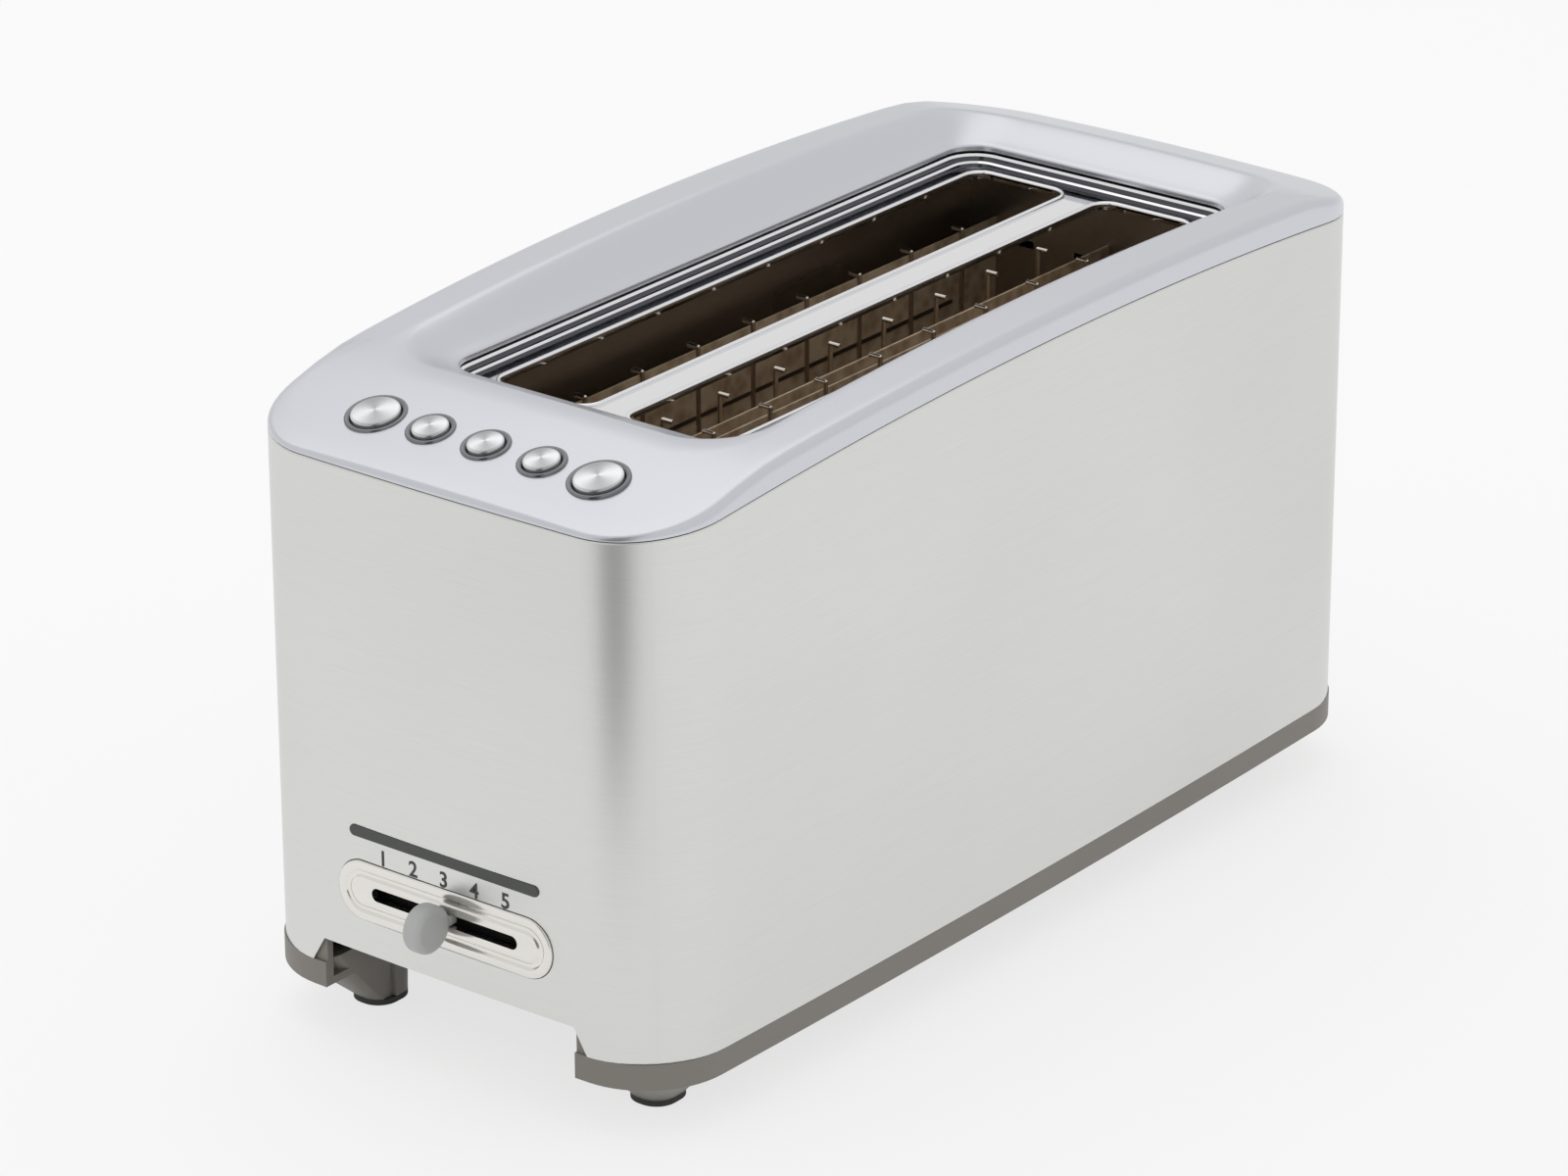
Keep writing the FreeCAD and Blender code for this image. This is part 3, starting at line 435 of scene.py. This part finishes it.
ring = extend(bm, ring, lambda at: grown_opening(at, cover_wall, lip_height - lip_wall))
for step in (1.0, 0.5, 0.0):
    ring = extend(bm, ring, lambda at: cover_under(at, step))
close_ring(bm, ring, loop)
cover = finish_piece(bm, "cover_casting", "housing", cover_metal)

button_names = ("start", "more", "bun", "frozen", "lift")
bezel_rim = 2.1 * MM
button_y = middle_y - 166 * MM


def panel_place(x):
    """Matrix that sets a piece drawn about the origin, Z up, on the sloping panel."""
    spot = Vector((x, button_y, crown_height(x, button_y)))
    return Matrix.Translation(spot) @ Matrix.Rotation(panel_slope, 4, "X")


def cap_size(name):
    low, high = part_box("button_cap_" + name)
    return (low[0] + high[0]) / 2, (high[0] - low[0]) / 2


holes = []
for name in button_names:
    x, radius = cap_size(name)
    shape = bmesh.new()
    bmesh.ops.create_cone(
        shape, cap_ends=True, segments=48, radius1=radius + bezel_rim - 0.8 * MM,
        radius2=radius + bezel_rim - 0.8 * MM, depth=24 * MM,
    )
    bmesh.ops.transform(shape, matrix=panel_place(x), verts=shape.verts)
    holes.append(cutter(shape))
cut_away(cover, holes)
crisp(cover, 40)
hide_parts("top_cover")


# ---------------------------------------------------------------------------
# Slot surround. A drawn and polished steel pan under the opening. Its walls
# step down to a flat floor, and each bread slot has a rolled edge.

polished_steel = brushed_metal(
    "polished_steel", (0.86, 0.86, 0.87), 0.06, 1.0, (60, 2500, 60), depth=0.004, anisotropy=0.0, patch=0.01,
)
floor_height = 194.0 * MM
slot_inner = 7.0 * MM
slot_outer = 44.5 * MM
slot_front = middle_y - 111 * MM
slot_back = middle_y + 139 * MM


def small_loop(shape, x0, x1, y0, y1, radius, z, segments=6):
    """Rounded rectangle lying flat, as a face."""
    made = bmesh.ops.create_grid(shape, x_segments=1, y_segments=1, size=1.0)["verts"]
    bmesh.ops.scale(shape, vec=((x1 - x0) / 2, (y1 - y0) / 2, 1), verts=made)
    bmesh.ops.translate(shape, vec=((x0 + x1) / 2, (y0 + y1) / 2, z), verts=made)
    edges = list({e for v in made for e in v.link_edges})
    bmesh.ops.bevel(
        shape, geom=made + edges, offset=radius, affect="VERTICES", segments=segments,
        profile=0.5, material=-1,
    )


bm = bmesh.new()
loop = start_loop(bm, side_cuts=20, end_cuts=8, corner_segments=8)
home = bm.verts.layers.float_vector["home"]
for v in bm.verts:
    v.co = grown_opening(v[home], 3.4 * MM, lip_height - lip_wall - 0.35 * MM)
# Each step of the wall: how far outside the opening, and how far above the floor
wall_steps = (
    (2.6, 4.6), (2.2, 3.4), (0.4, 3.1), (0.1, 2.7), (0.1, 1.7),
    (-0.3, 1.4), (-2.2, 1.2), (-2.6, 0.9), (-2.8, 0.0),
)
ring = loop
for grow, lift in wall_steps:
    ring = extend(bm, ring, lambda at: grown_opening(at, grow * MM, floor_height + lift * MM))
bmesh.ops.contextual_create(bm, geom=ring)
bmesh.ops.recalc_face_normals(bm, faces=bm.faces[:])
surround = finish_piece(bm, "slot_pan", "housing", polished_steel)
bpy.context.view_layer.objects.active = surround
sheet = surround.modifiers.new("sheet", "SOLIDIFY")
sheet.thickness = 0.7 * MM
sheet.offset = 1.0
bpy.ops.object.modifier_apply(modifier=sheet.name)
slots = []
for side in (-1, 1):
    shape = bmesh.new()
    x0, x1 = sorted((side * slot_inner, side * slot_outer))
    small_loop(shape, x0 - 0.2 * MM, x1 + 0.2 * MM, slot_front, slot_back, 6 * MM, floor_height - 5 * MM)
    pulled = bmesh.ops.extrude_face_region(shape, geom=shape.faces[:])["geom"]
    far_end = [v for v in pulled if isinstance(v, bmesh.types.BMVert)]
    bmesh.ops.translate(shape, vec=(0, 0, 10 * MM), verts=far_end)
    bmesh.ops.recalc_face_normals(shape, faces=shape.faces[:])
    slots.append(cutter(shape))
cut_away(surround, slots)
crisp(surround, 30)
# The upright steps of the wall stay in shade, so they read dark between the bright trims
shaded_steel = brushed_metal(
    "shaded_steel", (0.10, 0.10, 0.11), 0.12, 1.0, (60, 2500, 60), depth=0.004, anisotropy=0.0, patch=0.01,
)
surround.data.materials.append(shaded_steel)
for polygon in surround.data.polygons:
    if abs(polygon.normal.z) < 0.35 and polygon.center.z > floor_height + 0.4 * MM:
        polygon.material_index = 1
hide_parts("slot_surround")

for side, side_name in ((-1, "left"), (1, "right")):
    bm = bmesh.new()
    x0, x1 = sorted((side * slot_inner, side * slot_outer))
    small_loop(bm, x0, x1, slot_front, slot_back, 6 * MM, floor_height - 1.0 * MM)
    bm.faces.ensure_lookup_table()
    ring = bm.faces[0].edges[:]
    bmesh.ops.delete(bm, geom=bm.faces[:], context="FACES_ONLY")
    first = ring
    # The rolled edge's section: out from the slot's wall, up over the bead and down outside it
    for grow, lift in (
        (0.0, 1.8), (0.15, 2.3), (0.55, 2.6), (1.0, 2.6), (1.4, 2.3), (1.55, 1.8), (1.55, 0.9),
    ):
        made = bmesh.ops.extrude_edge_only(bm, edges=ring)["geom"]
        fresh = {item for item in made if isinstance(item, bmesh.types.BMVert)}
        previous = last_grow if ring is not first else 0.0
        for v in fresh:
            middle = Vector(((x0 + x1) / 2, (slot_front + slot_back) / 2, 0))
            reach_x = (x1 - x0) / 2 - 6 * MM
            reach_y = (slot_back - slot_front) / 2 - 6 * MM
            away = Vector((v.co.x - middle.x, v.co.y - middle.y, 0))
            away.x -= max(-reach_x, min(reach_x, away.x))
            away.y -= max(-reach_y, min(reach_y, away.y))
            away.normalize()
            v.co += away * (grow - previous) * MM
            v.co.z = floor_height + (lift - 1.0) * MM
        last_grow = grow
        ring = [e for e in bm.edges if e.verts[0] in fresh and e.verts[1] in fresh]
    bmesh.ops.bridge_loops(bm, edges=first + ring)
    bmesh.ops.recalc_face_normals(bm, faces=bm.faces[:])
    finish_piece(bm, "slot_bead_" + side_name, "housing", polished_steel)


# ---------------------------------------------------------------------------
# Base and feet. One moulding in warm grey plastic with a fine texture. It
# closes the shell from below, and its corners run down into four feet.


def moulded_plastic(name, colour, roughness, grain=900.0, depth=0.08, mottle=0.03):
    """Plastic with a fine even texture and faint cloudiness."""
    material, tree, shader, add = node_maker(name)
    coords = add("ShaderNodeTexCoord")
    fine = add("ShaderNodeTexNoise", {"Vector": coords.outputs["Object"], "Scale": grain, "Detail": 3.0})
    cloud = add("ShaderNodeTexNoise", {"Vector": coords.outputs["Object"], "Scale": 25.0, "Detail": 3.0})
    ramp = add("ShaderNodeValToRGB", {"Fac": cloud.outputs["Fac"]})
    ramp.color_ramp.elements[0].position = 0.3
    ramp.color_ramp.elements[1].position = 0.7
    ramp.color_ramp.elements[0].color = (*[c * (1 - mottle) for c in colour], 1)
    ramp.color_ramp.elements[1].color = (*[c * (1 + mottle) for c in colour], 1)
    tree.links.new(ramp.outputs[0], shader.inputs["Base Color"])
    bump = add("ShaderNodeBump", {"Height": fine.outputs["Fac"], "Strength": depth, "Distance": 0.0003})
    tree.links.new(bump.outputs[0], shader.inputs["Normal"])
    shader.inputs["Roughness"].default_value = roughness
    return material


def dress(material, *nodes):
    """Gives CAD pieces their finish."""
    for node in nodes:
        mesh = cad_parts[node].data
        mesh.materials.clear()
        mesh.materials.append(material)


base_plastic = moulded_plastic("base_plastic", (0.24, 0.225, 0.20), 0.5)
foot_rubber = moulded_plastic("foot_rubber", (0.05, 0.05, 0.05), 0.8, grain=1500.0)
dress(base_plastic, "base", "crumb_tray_handle")
dress(foot_rubber, "rubber_feet")


# ---------------------------------------------------------------------------
# Inside parts of sheet steel: bulkheads, reflectors, lift bracket, motor
# bracket and crumb tray, all cut from aluminised sheet that heat has dulled.

sheet_steel = brushed_metal(
    "sheet_steel", (0.50, 0.46, 0.42), 0.28, 1.0, (300, 60, 1800), depth=0.03, anisotropy=0.0, patch=0.08,
)
dress(sheet_steel, "front_bulkhead", "rear_bulkhead", "reflector_left", "reflector_right", "lift_bracket",
      "motor_bracket", "crumb_tray", "motor")
ground_steel = brushed_metal(
    "ground_steel", (0.70, 0.70, 0.70), 0.2, 1.0, (800, 800, 4000), depth=0.02, anisotropy=0.0,
)
dress(ground_steel, "guide_rod_left", "guide_rod_right", "gear_axle", "motor_shaft",
      "motor_screws", "base_screws")


# ---------------------------------------------------------------------------
# Heating cards: mica board with flat resistance ribbon along its face. The
# board is mottled, and the ribbon is dark with scale from its first heating.

mica, mica_tree, mica_shader, add = node_maker("mica")
coords = add("ShaderNodeTexCoord")
flakes = add("ShaderNodeTexVoronoi", {"Vector": coords.outputs["Object"], "Scale": 220.0})
cloud = add("ShaderNodeTexNoise", {"Vector": coords.outputs["Object"], "Scale": 60.0, "Detail": 5.0})
mixed = add("ShaderNodeMath", {0: flakes.outputs["Distance"], 1: cloud.outputs["Fac"]}, operation="MULTIPLY")
ramp = add("ShaderNodeValToRGB", {"Fac": mixed.outputs[0]})
ramp.color_ramp.elements[0].color = (0.30, 0.20, 0.12, 1)
ramp.color_ramp.elements[1].color = (0.52, 0.40, 0.27, 1)
ramp.color_ramp.elements[1].position = 0.4
mica_tree.links.new(ramp.outputs[0], mica_shader.inputs["Base Color"])
mica_shader.inputs["Roughness"].default_value = 0.35
ribbon_metal = brushed_metal("ribbon_metal", (0.20, 0.17, 0.15), 0.45, 1.0, (300, 900, 300), depth=0.05)
guard_steel = brushed_metal(
    "guard_steel", (0.60, 0.54, 0.47), 0.22, 1.0, (700, 700, 1500), depth=0.03, anisotropy=0.0,
)
for side_name in ("left", "right"):
    dress(guard_steel, "bread_rack_" + side_name)
    for place_name in ("inner", "outer"):
        dress(mica, f"heating_card_{side_name}_{place_name}")
        dress(ribbon_metal, f"heating_ribbons_{side_name}_{place_name}")
        dress(guard_steel, f"bread_guard_{side_name}_{place_name}")


# ---------------------------------------------------------------------------
# Drive and electrics: acetal gears and rack, black switch bodies, and boards
# with green solder mask.

acetal = moulded_plastic("acetal", (0.80, 0.78, 0.70), 0.35, grain=700.0, depth=0.03)
black_plastic = moulded_plastic("black_plastic", (0.03, 0.03, 0.03), 0.45)
solder_mask = moulded_plastic("solder_mask", (0.03, 0.16, 0.07), 0.3, grain=400.0, depth=0.02, mottle=0.15)
dress(acetal, "compound_gear", "motor_pinion", "lift_rack", "terminal_block")
dress(black_plastic, "limit_switches", "slide_potentiometer", "potentiometer_wiper", "cord_bush")
dress(solder_mask, "control_board", "button_board")


# ---------------------------------------------------------------------------
# Browning control on the front: a pressed plate with a raised ring and a slot,
# a dark window above it, and the numbers 1 to 5 printed between them.

nickel = brushed_metal(
    "nickel_plate", (0.80, 0.78, 0.74), 0.17, 1.0, (60, 900, 1800), depth=0.02, anisotropy=0.3, patch=0.03,
)
dark_window = moulded_plastic("dark_window", (0.055, 0.06, 0.055), 0.3, grain=1200.0, depth=0.02)
slot_length = 58.0 * MM
slot_height = 4.5 * MM

bm = bmesh.new()
stadium(bm, plate_length, plate_height, z=plate_z, y=front_face + 1.2 * MM)
bm.faces.ensure_lookup_table()
ring = bm.faces[0].edges[:]
bmesh.ops.delete(bm, geom=bm.faces[:], context="FACES_ONLY")


def stadium_ring(shape, edges, inset, y):
    """Next ring of the pressed plate: set in from its outline and at its own depth."""
    made_here = bmesh.ops.extrude_edge_only(shape, edges=edges)["geom"]
    fresh_here = {item for item in made_here if isinstance(item, bmesh.types.BMVert)}
    half_flat = (plate_length - plate_height) / 2
    for v in fresh_here:
        end = Vector((math.copysign(half_flat, v.co.x), 0, plate_z))
        away = Vector((v.co.x, 0, v.co.z)) - end
        away.normalize()
        radius = plate_height / 2 - inset
        v.co = Vector((end.x, y, end.z)) + away * radius
    return [e for e in shape.edges if e.verts[0] in fresh_here and e.verts[1] in fresh_here]


# Inset from the plate's edge and height above the steel face, from the rim inwards
plate_section = (
    (0.0, 0.05), (0.12, 0.35), (0.5, 0.5), (2.2, 0.5), (2.9, 0.42), (3.2, 0.05), (3.7, -0.15), (4.4, -0.15),
    (4.9, 0.0), (5.2, 0.36), (5.7, 0.44), (7.0, 0.44), (7.4, 0.38),
)
for inset, proud in plate_section:
    ring = stadium_ring(bm, ring, inset * MM, front_face - proud * MM)
made = bmesh.ops.extrude_edge_only(bm, edges=ring)["geom"]
fresh = {item for item in made if isinstance(item, bmesh.types.BMVert)}
for v in fresh:
    end_x = math.copysign((slot_length - slot_height) / 2, v.co.x)
    outer_x = math.copysign((plate_length - plate_height) / 2, v.co.x)
    away = Vector((v.co.x - outer_x, 0, v.co.z - plate_z)).normalized()
    v.co = Vector((end_x, front_face - 0.3 * MM, plate_z)) + away * slot_height / 2
ring = [e for e in bm.edges if e.verts[0] in fresh and e.verts[1] in fresh]
made = bmesh.ops.extrude_edge_only(bm, edges=ring)["geom"]
fresh = {item for item in made if isinstance(item, bmesh.types.BMVert)}
for v in fresh:
    v.co.y += 2.4 * MM
bmesh.ops.recalc_face_normals(bm, faces=bm.faces[:])
plate = finish_piece(bm, "slider_plate_pressing", "housing", nickel)
crisp(plate, 50)
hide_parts("slider_plate")
dress(dark_window, "indicator_window")

ink = moulded_plastic("ink", (0.045, 0.045, 0.045), 0.5, grain=2000.0, depth=0.01)
number_pitch = 12.2 * MM
for count in range(5):
    curve = bpy.data.curves.new("number", "FONT")
    curve.body = str(count + 1)
    curve.size = 7.2 * MM
    curve.align_x = "CENTER"
    curve.align_y = "CENTER"
    curve.extrude = 0.03 * MM
    curve.offset = 0.12 * MM
    text = bpy.data.objects.new("number", curve)
    bpy.context.scene.collection.objects.link(text)
    bpy.context.view_layer.update()
    mesh = bpy.data.meshes.new_from_object(text)
    bpy.data.objects.remove(text)
    x = (count - 2) * number_pitch
    bow = end_bow * (x / half_width) ** 2
    spot = Matrix.Translation((x, front_face + bow - 0.05 * MM, 67.7 * MM))
    mesh.transform(spot @ Matrix.Rotation(math.radians(90), 4, "X"))
    number = bpy.data.objects.new(f"number_{count + 1}", mesh)
    bpy.context.scene.collection.objects.link(number)
    mesh.materials.clear()
    mesh.materials.append(ink)
    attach(number, "housing")


# ---------------------------------------------------------------------------
# Browning knob. A moulded grey fin: a round thumb disc on edge that thins
# towards the plate.

knob_plastic = moulded_plastic("knob_plastic", (0.50, 0.51, 0.50), 0.42, grain=1100.0, depth=0.05)
knob_low, knob_high = (Vector(corner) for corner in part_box("browning_knob"))
knob_z = (knob_low.z + knob_high.z) / 2
knob_half = (knob_high.x - knob_low.x) / 2
knob_radius = (knob_high.z - knob_low.z) / 2
bm = bmesh.new()
bmesh.ops.create_cone(
    bm, cap_ends=True, segments=64, radius1=knob_radius, radius2=knob_radius, depth=2 * knob_half,
)
bmesh.ops.rotate(bm, verts=bm.verts, matrix=Matrix.Rotation(math.radians(90), 3, "Y"))
bmesh.ops.translate(bm, vec=(0, knob_low.y + knob_radius, knob_z), verts=bm.verts)
plate_front = front_face - 0.55 * MM
for v in bm.verts:
    if v.co.y > knob_low.y + knob_radius:
        reach = (v.co.y - knob_low.y - knob_radius) / knob_radius
        v.co.y = knob_low.y + knob_radius + reach * (plate_front - knob_low.y - knob_radius)
rims = [e for e in bm.edges if len(e.link_faces) == 2 and abs(e.verts[0].co.x) > knob_half * 0.9
        and abs(e.verts[0].co.x - e.verts[1].co.x) < knob_half * 0.1]
bmesh.ops.bevel(bm, geom=rims, offset=2.2 * MM, affect="EDGES", segments=6, profile=0.5, material=-1)
knob = finish_piece(bm, "knob_fin", "browning_slider", knob_plastic)
crisp(knob, 60)
bm = bmesh.new()
bmesh.ops.create_cube(bm, size=1.0)
bmesh.ops.scale(bm, vec=(5 * MM, 4 * MM, 3.4 * MM), verts=bm.verts)
bmesh.ops.translate(bm, vec=(0, front_face + 1.0 * MM, knob_z), verts=bm.verts)
bmesh.ops.bevel(bm, geom=bm.edges[:], offset=0.4 * MM, affect="EDGES", segments=2, profile=0.5, material=-1)
finish_piece(bm, "knob_stem", "browning_slider", knob_plastic)
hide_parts("browning_knob")


# ---------------------------------------------------------------------------
# Push buttons. Each cap is turned from aluminium with a spun face, and sits in
# a dark chromed ring that is pressed into the cover.


def spun_metal_with_painted_sheen(name, colour, roughness, centre, normal_turn):
    """Metal with fine rings round the cap's own centre, and a painted sheen: the colour is lighter and
    darker in a four-lobed fan round the centre, which stands in for the highlight that fans out across spun
    metal.
    """
    material, tree, shader, add = node_maker(name)
    coords = add("ShaderNodeTexCoord")
    local = add("ShaderNodeMapping", {"Vector": coords.outputs["Object"]}, vector_type="TEXTURE")
    local.inputs["Location"].default_value = centre
    local.inputs["Rotation"].default_value = (normal_turn, 0, 0)
    apart = add("ShaderNodeSeparateXYZ", {0: local.outputs[0]})
    flat = add("ShaderNodeCombineXYZ", {0: apart.outputs[0], 1: apart.outputs[1]})
    distance = add("ShaderNodeVectorMath", {0: flat.outputs[0]}, operation="LENGTH")
    rings = add("ShaderNodeTexNoise", {"W": distance.outputs["Value"], "Scale": 9000.0, "Detail": 3.0},
                noise_dimensions="1D")
    # Painted highlight: a fan of four lighter and darker lobes round the cap's centre, multiplied into the
    # base colour
    angle = add("ShaderNodeMath", {0: apart.outputs[1], 1: apart.outputs[0]}, operation="ARCTAN2")
    double = add("ShaderNodeMath", {0: angle.outputs[0], 1: 2.0}, operation="MULTIPLY")
    painted_sheen_fan = add("ShaderNodeMath", {0: double.outputs[0]}, operation="SINE")
    painted_sheen_range = add("ShaderNodeMapRange", {"Value": painted_sheen_fan.outputs[0], "From Min": -1.0, "From Max": 1.0,
                                           "To Min": 0.52, "To Max": 0.95})
    tone = add("ShaderNodeMix", data_type="RGBA", blend_type="MULTIPLY")
    tone.inputs[0].default_value = 1.0
    tone.inputs[6].default_value = (*colour, 1)
    tree.links.new(painted_sheen_range.outputs[0], tone.inputs[7])
    tree.links.new(tone.outputs[2], shader.inputs["Base Color"])
    bump = add("ShaderNodeBump", {"Height": rings.outputs["Fac"], "Strength": 0.05, "Distance": 0.0002})
    tree.links.new(bump.outputs[0], shader.inputs["Normal"])
    shader.inputs["Metallic"].default_value = 1.0
    shader.inputs["Roughness"].default_value = roughness
    return material


bezel_chrome = brushed_metal(
    "bezel_chrome", (0.22, 0.22, 0.23), 0.16, 1.0, (900, 900, 900), depth=0.01, anisotropy=0.0,
)


def turned(section, segments=64):
    """Spins a section of (radius, height) points round Z into a closed mesh."""
    shape = bmesh.new()
    points = [shape.verts.new((radius * MM, 0, z * MM)) for radius, z in section]
    edges = [shape.edges.new(pair) for pair in zip(points, points[1:])]
    bmesh.ops.spin(
        shape, geom=points + edges, cent=(0, 0, 0), axis=(0, 0, 1), angle=2 * math.pi,
        steps=segments, use_merge=True, use_duplicate=False,
    )
    bmesh.ops.remove_doubles(shape, verts=shape.verts, dist=0.001 * MM)
    bmesh.ops.recalc_face_normals(shape, faces=shape.faces[:])
    return shape


for name in button_names:
    x, radius = cap_size(name)
    cap_r = radius / MM
    place = panel_place(x)
    cap_section = (
        (0, 1.85), (cap_r * 0.5, 1.8), (cap_r - 0.9, 1.62), (cap_r - 0.4, 1.5), (cap_r - 0.12, 1.25),
        (cap_r, 0.95), (cap_r, -3.0), (0, -3.0),
    )
    bm = turned(cap_section)
    bmesh.ops.transform(bm, matrix=place, verts=bm.verts)
    # The cap's material has the spun rings as bumps and a painted sheen fan in its colour
    face_metal = spun_metal_with_painted_sheen("spun_painted_sheen_" + name, (0.86, 0.87, 0.88), 0.24, place.translation, panel_slope)
    cap = finish_piece(bm, "cap_" + name, "button_" + name, face_metal)
    crisp(cap, 50)
    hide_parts("button_cap_" + name)
    bore = cap_r + 0.35
    rim_r = cap_r + 2.1
    ring_section = (
        (bore, -4.0), (bore, 0.1), (bore + 0.25, 0.35), (rim_r - 0.75, 0.75), (rim_r - 0.35, 0.7),
        (rim_r - 0.08, 0.45), (rim_r, 0.1), (rim_r, -0.45), (rim_r - 1.0, -0.5),
        (rim_r - 1.0, -4.0), (bore, -4.0),
    )
    bm = turned(ring_section)
    bmesh.ops.transform(bm, matrix=place, verts=bm.verts)
    bezel = finish_piece(bm, "ring_" + name, "housing", bezel_chrome)
    crisp(bezel, 50)
    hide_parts("button_bezel_" + name)


# ---------------------------------------------------------------------------
# Floor, light and camera.

scene = bpy.context.scene
scene.view_settings.view_transform = "Standard"

world = bpy.data.worlds.new("studio")
scene.world = world
world.use_nodes = True
nodes = world.node_tree.nodes
links = world.node_tree.links
surround_light = nodes["Background"]
surround_light.inputs["Strength"].default_value = 0.75
surround_light.inputs["Color"].default_value = (1, 1, 1, 1)
white = nodes.new("ShaderNodeBackground")
white.inputs["Strength"].default_value = 1.0
path = nodes.new("ShaderNodeLightPath")
either = nodes.new("ShaderNodeMath")
either.operation = "MAXIMUM"
also = nodes.new("ShaderNodeMath")
also.operation = "MAXIMUM"
links.new(path.outputs["Is Camera Ray"], either.inputs[0])
links.new(path.outputs["Is Glossy Ray"], either.inputs[1])
links.new(either.outputs[0], also.inputs[0])
links.new(path.outputs["Is Transmission Ray"], also.inputs[1])
choose = nodes.new("ShaderNodeMixShader")
links.new(also.outputs[0], choose.inputs[0])
links.new(surround_light.outputs[0], choose.inputs[1])
links.new(white.outputs[0], choose.inputs[2])
links.new(choose.outputs[0], nodes["World Output"].inputs["Surface"])

bm = bmesh.new()
bmesh.ops.create_grid(bm, x_segments=1, y_segments=1, size=6.0)
mesh = bpy.data.meshes.new("floor")
bm.to_mesh(mesh)
bm.free()
floor = bpy.data.objects.new("floor", mesh)
scene.collection.objects.link(floor)
floor_paint, tree, shader, add = node_maker("floor_paint")
shader.inputs["Base Color"].default_value = (0.9, 0.9, 0.9, 1)
shader.inputs["Roughness"].default_value = 0.9
glow = add("ShaderNodeEmission", {"Color": (1, 1, 1, 1), "Strength": 1.0})
path = add("ShaderNodeLightPath")
seen_by = {0: path.outputs["Is Camera Ray"], 1: path.outputs["Is Glossy Ray"]}
either = add("ShaderNodeMath", seen_by, operation="MAXIMUM")
share = add("ShaderNodeMath", {0: either.outputs[0], 1: 0.72}, operation="MULTIPLY")
blend = add("ShaderNodeMixShader", {0: share.outputs[0], 1: shader.outputs[0], 2: glow.outputs[0]})
tree.links.new(blend.outputs[0], tree.nodes["Material Output"].inputs["Surface"])
floor.data.materials.append(floor_paint)


def area_light(name, place, target, size, power):
    lamp = bpy.data.lights.new(name, "AREA")
    lamp.shape = "RECTANGLE"
    lamp.size, lamp.size_y = size
    lamp.energy = power
    holder = bpy.data.objects.new(name, lamp)
    scene.collection.objects.link(holder)
    holder.location = place
    holder.rotation_euler = (Vector(target) - Vector(place)).to_track_quat("-Z", "Y").to_euler()
    return holder


area_light("soft_top", (-0.6, 0.4, 1.6), (0, 0, 0.15), (1.4, 1.4), 2.2)
fill = area_light("soft_fill", (-0.5, 0.3, 1.6), (0, 0, 0.15), (1.4, 1.4), 4)
fill.visible_glossy = False

# A dark upright card beside the near corner, seen only in the metal, darkens the rolled corner
bm = bmesh.new()
bmesh.ops.create_grid(bm, x_segments=1, y_segments=1, size=0.5)
bmesh.ops.scale(bm, vec=(0.17, 1.0, 1.0), verts=bm.verts)
mesh = bpy.data.meshes.new("dark_card")
bm.to_mesh(mesh)
bm.free()
card = bpy.data.objects.new("dark_card", mesh)
scene.collection.objects.link(card)
card_azimuth = math.radians(13)
corner = Vector((half_width - corner_radius, middle_y - half_length + corner_radius, 0.12))
card.location = corner + 0.30 * Vector((math.sin(card_azimuth), -math.cos(card_azimuth), 0))
card.rotation_euler = (math.radians(90), 0, card_azimuth)
card_paint, tree, shader, add = node_maker("card_paint")
shader.inputs["Base Color"].default_value = (0.30, 0.30, 0.30, 1)
shader.inputs["Roughness"].default_value = 1.0
card.data.materials.append(card_paint)
card.visible_camera = False
card.visible_diffuse = False
card.visible_shadow = False
card.visible_transmission = False

camera_data = bpy.data.cameras.new("camera")
camera = bpy.data.objects.new("camera", camera_data)
scene.collection.objects.link(camera)
scene.camera = camera
camera_data.sensor_width = 36.0
camera_data.lens = 146.3
camera_data.shift_x = -0.0282
camera_data.shift_y = 0.0066
target = Vector((0, middle_y, 0.0969))
azimuth = math.radians(37.70)
elevation = math.radians(22.85)
distance = 2.0514
camera.location = target + distance * Vector((
    math.sin(azimuth) * math.cos(elevation), -math.cos(azimuth) * math.cos(elevation), math.sin(elevation),
))
camera.rotation_euler = (target - camera.location).to_track_quat("-Z", "Y").to_euler()
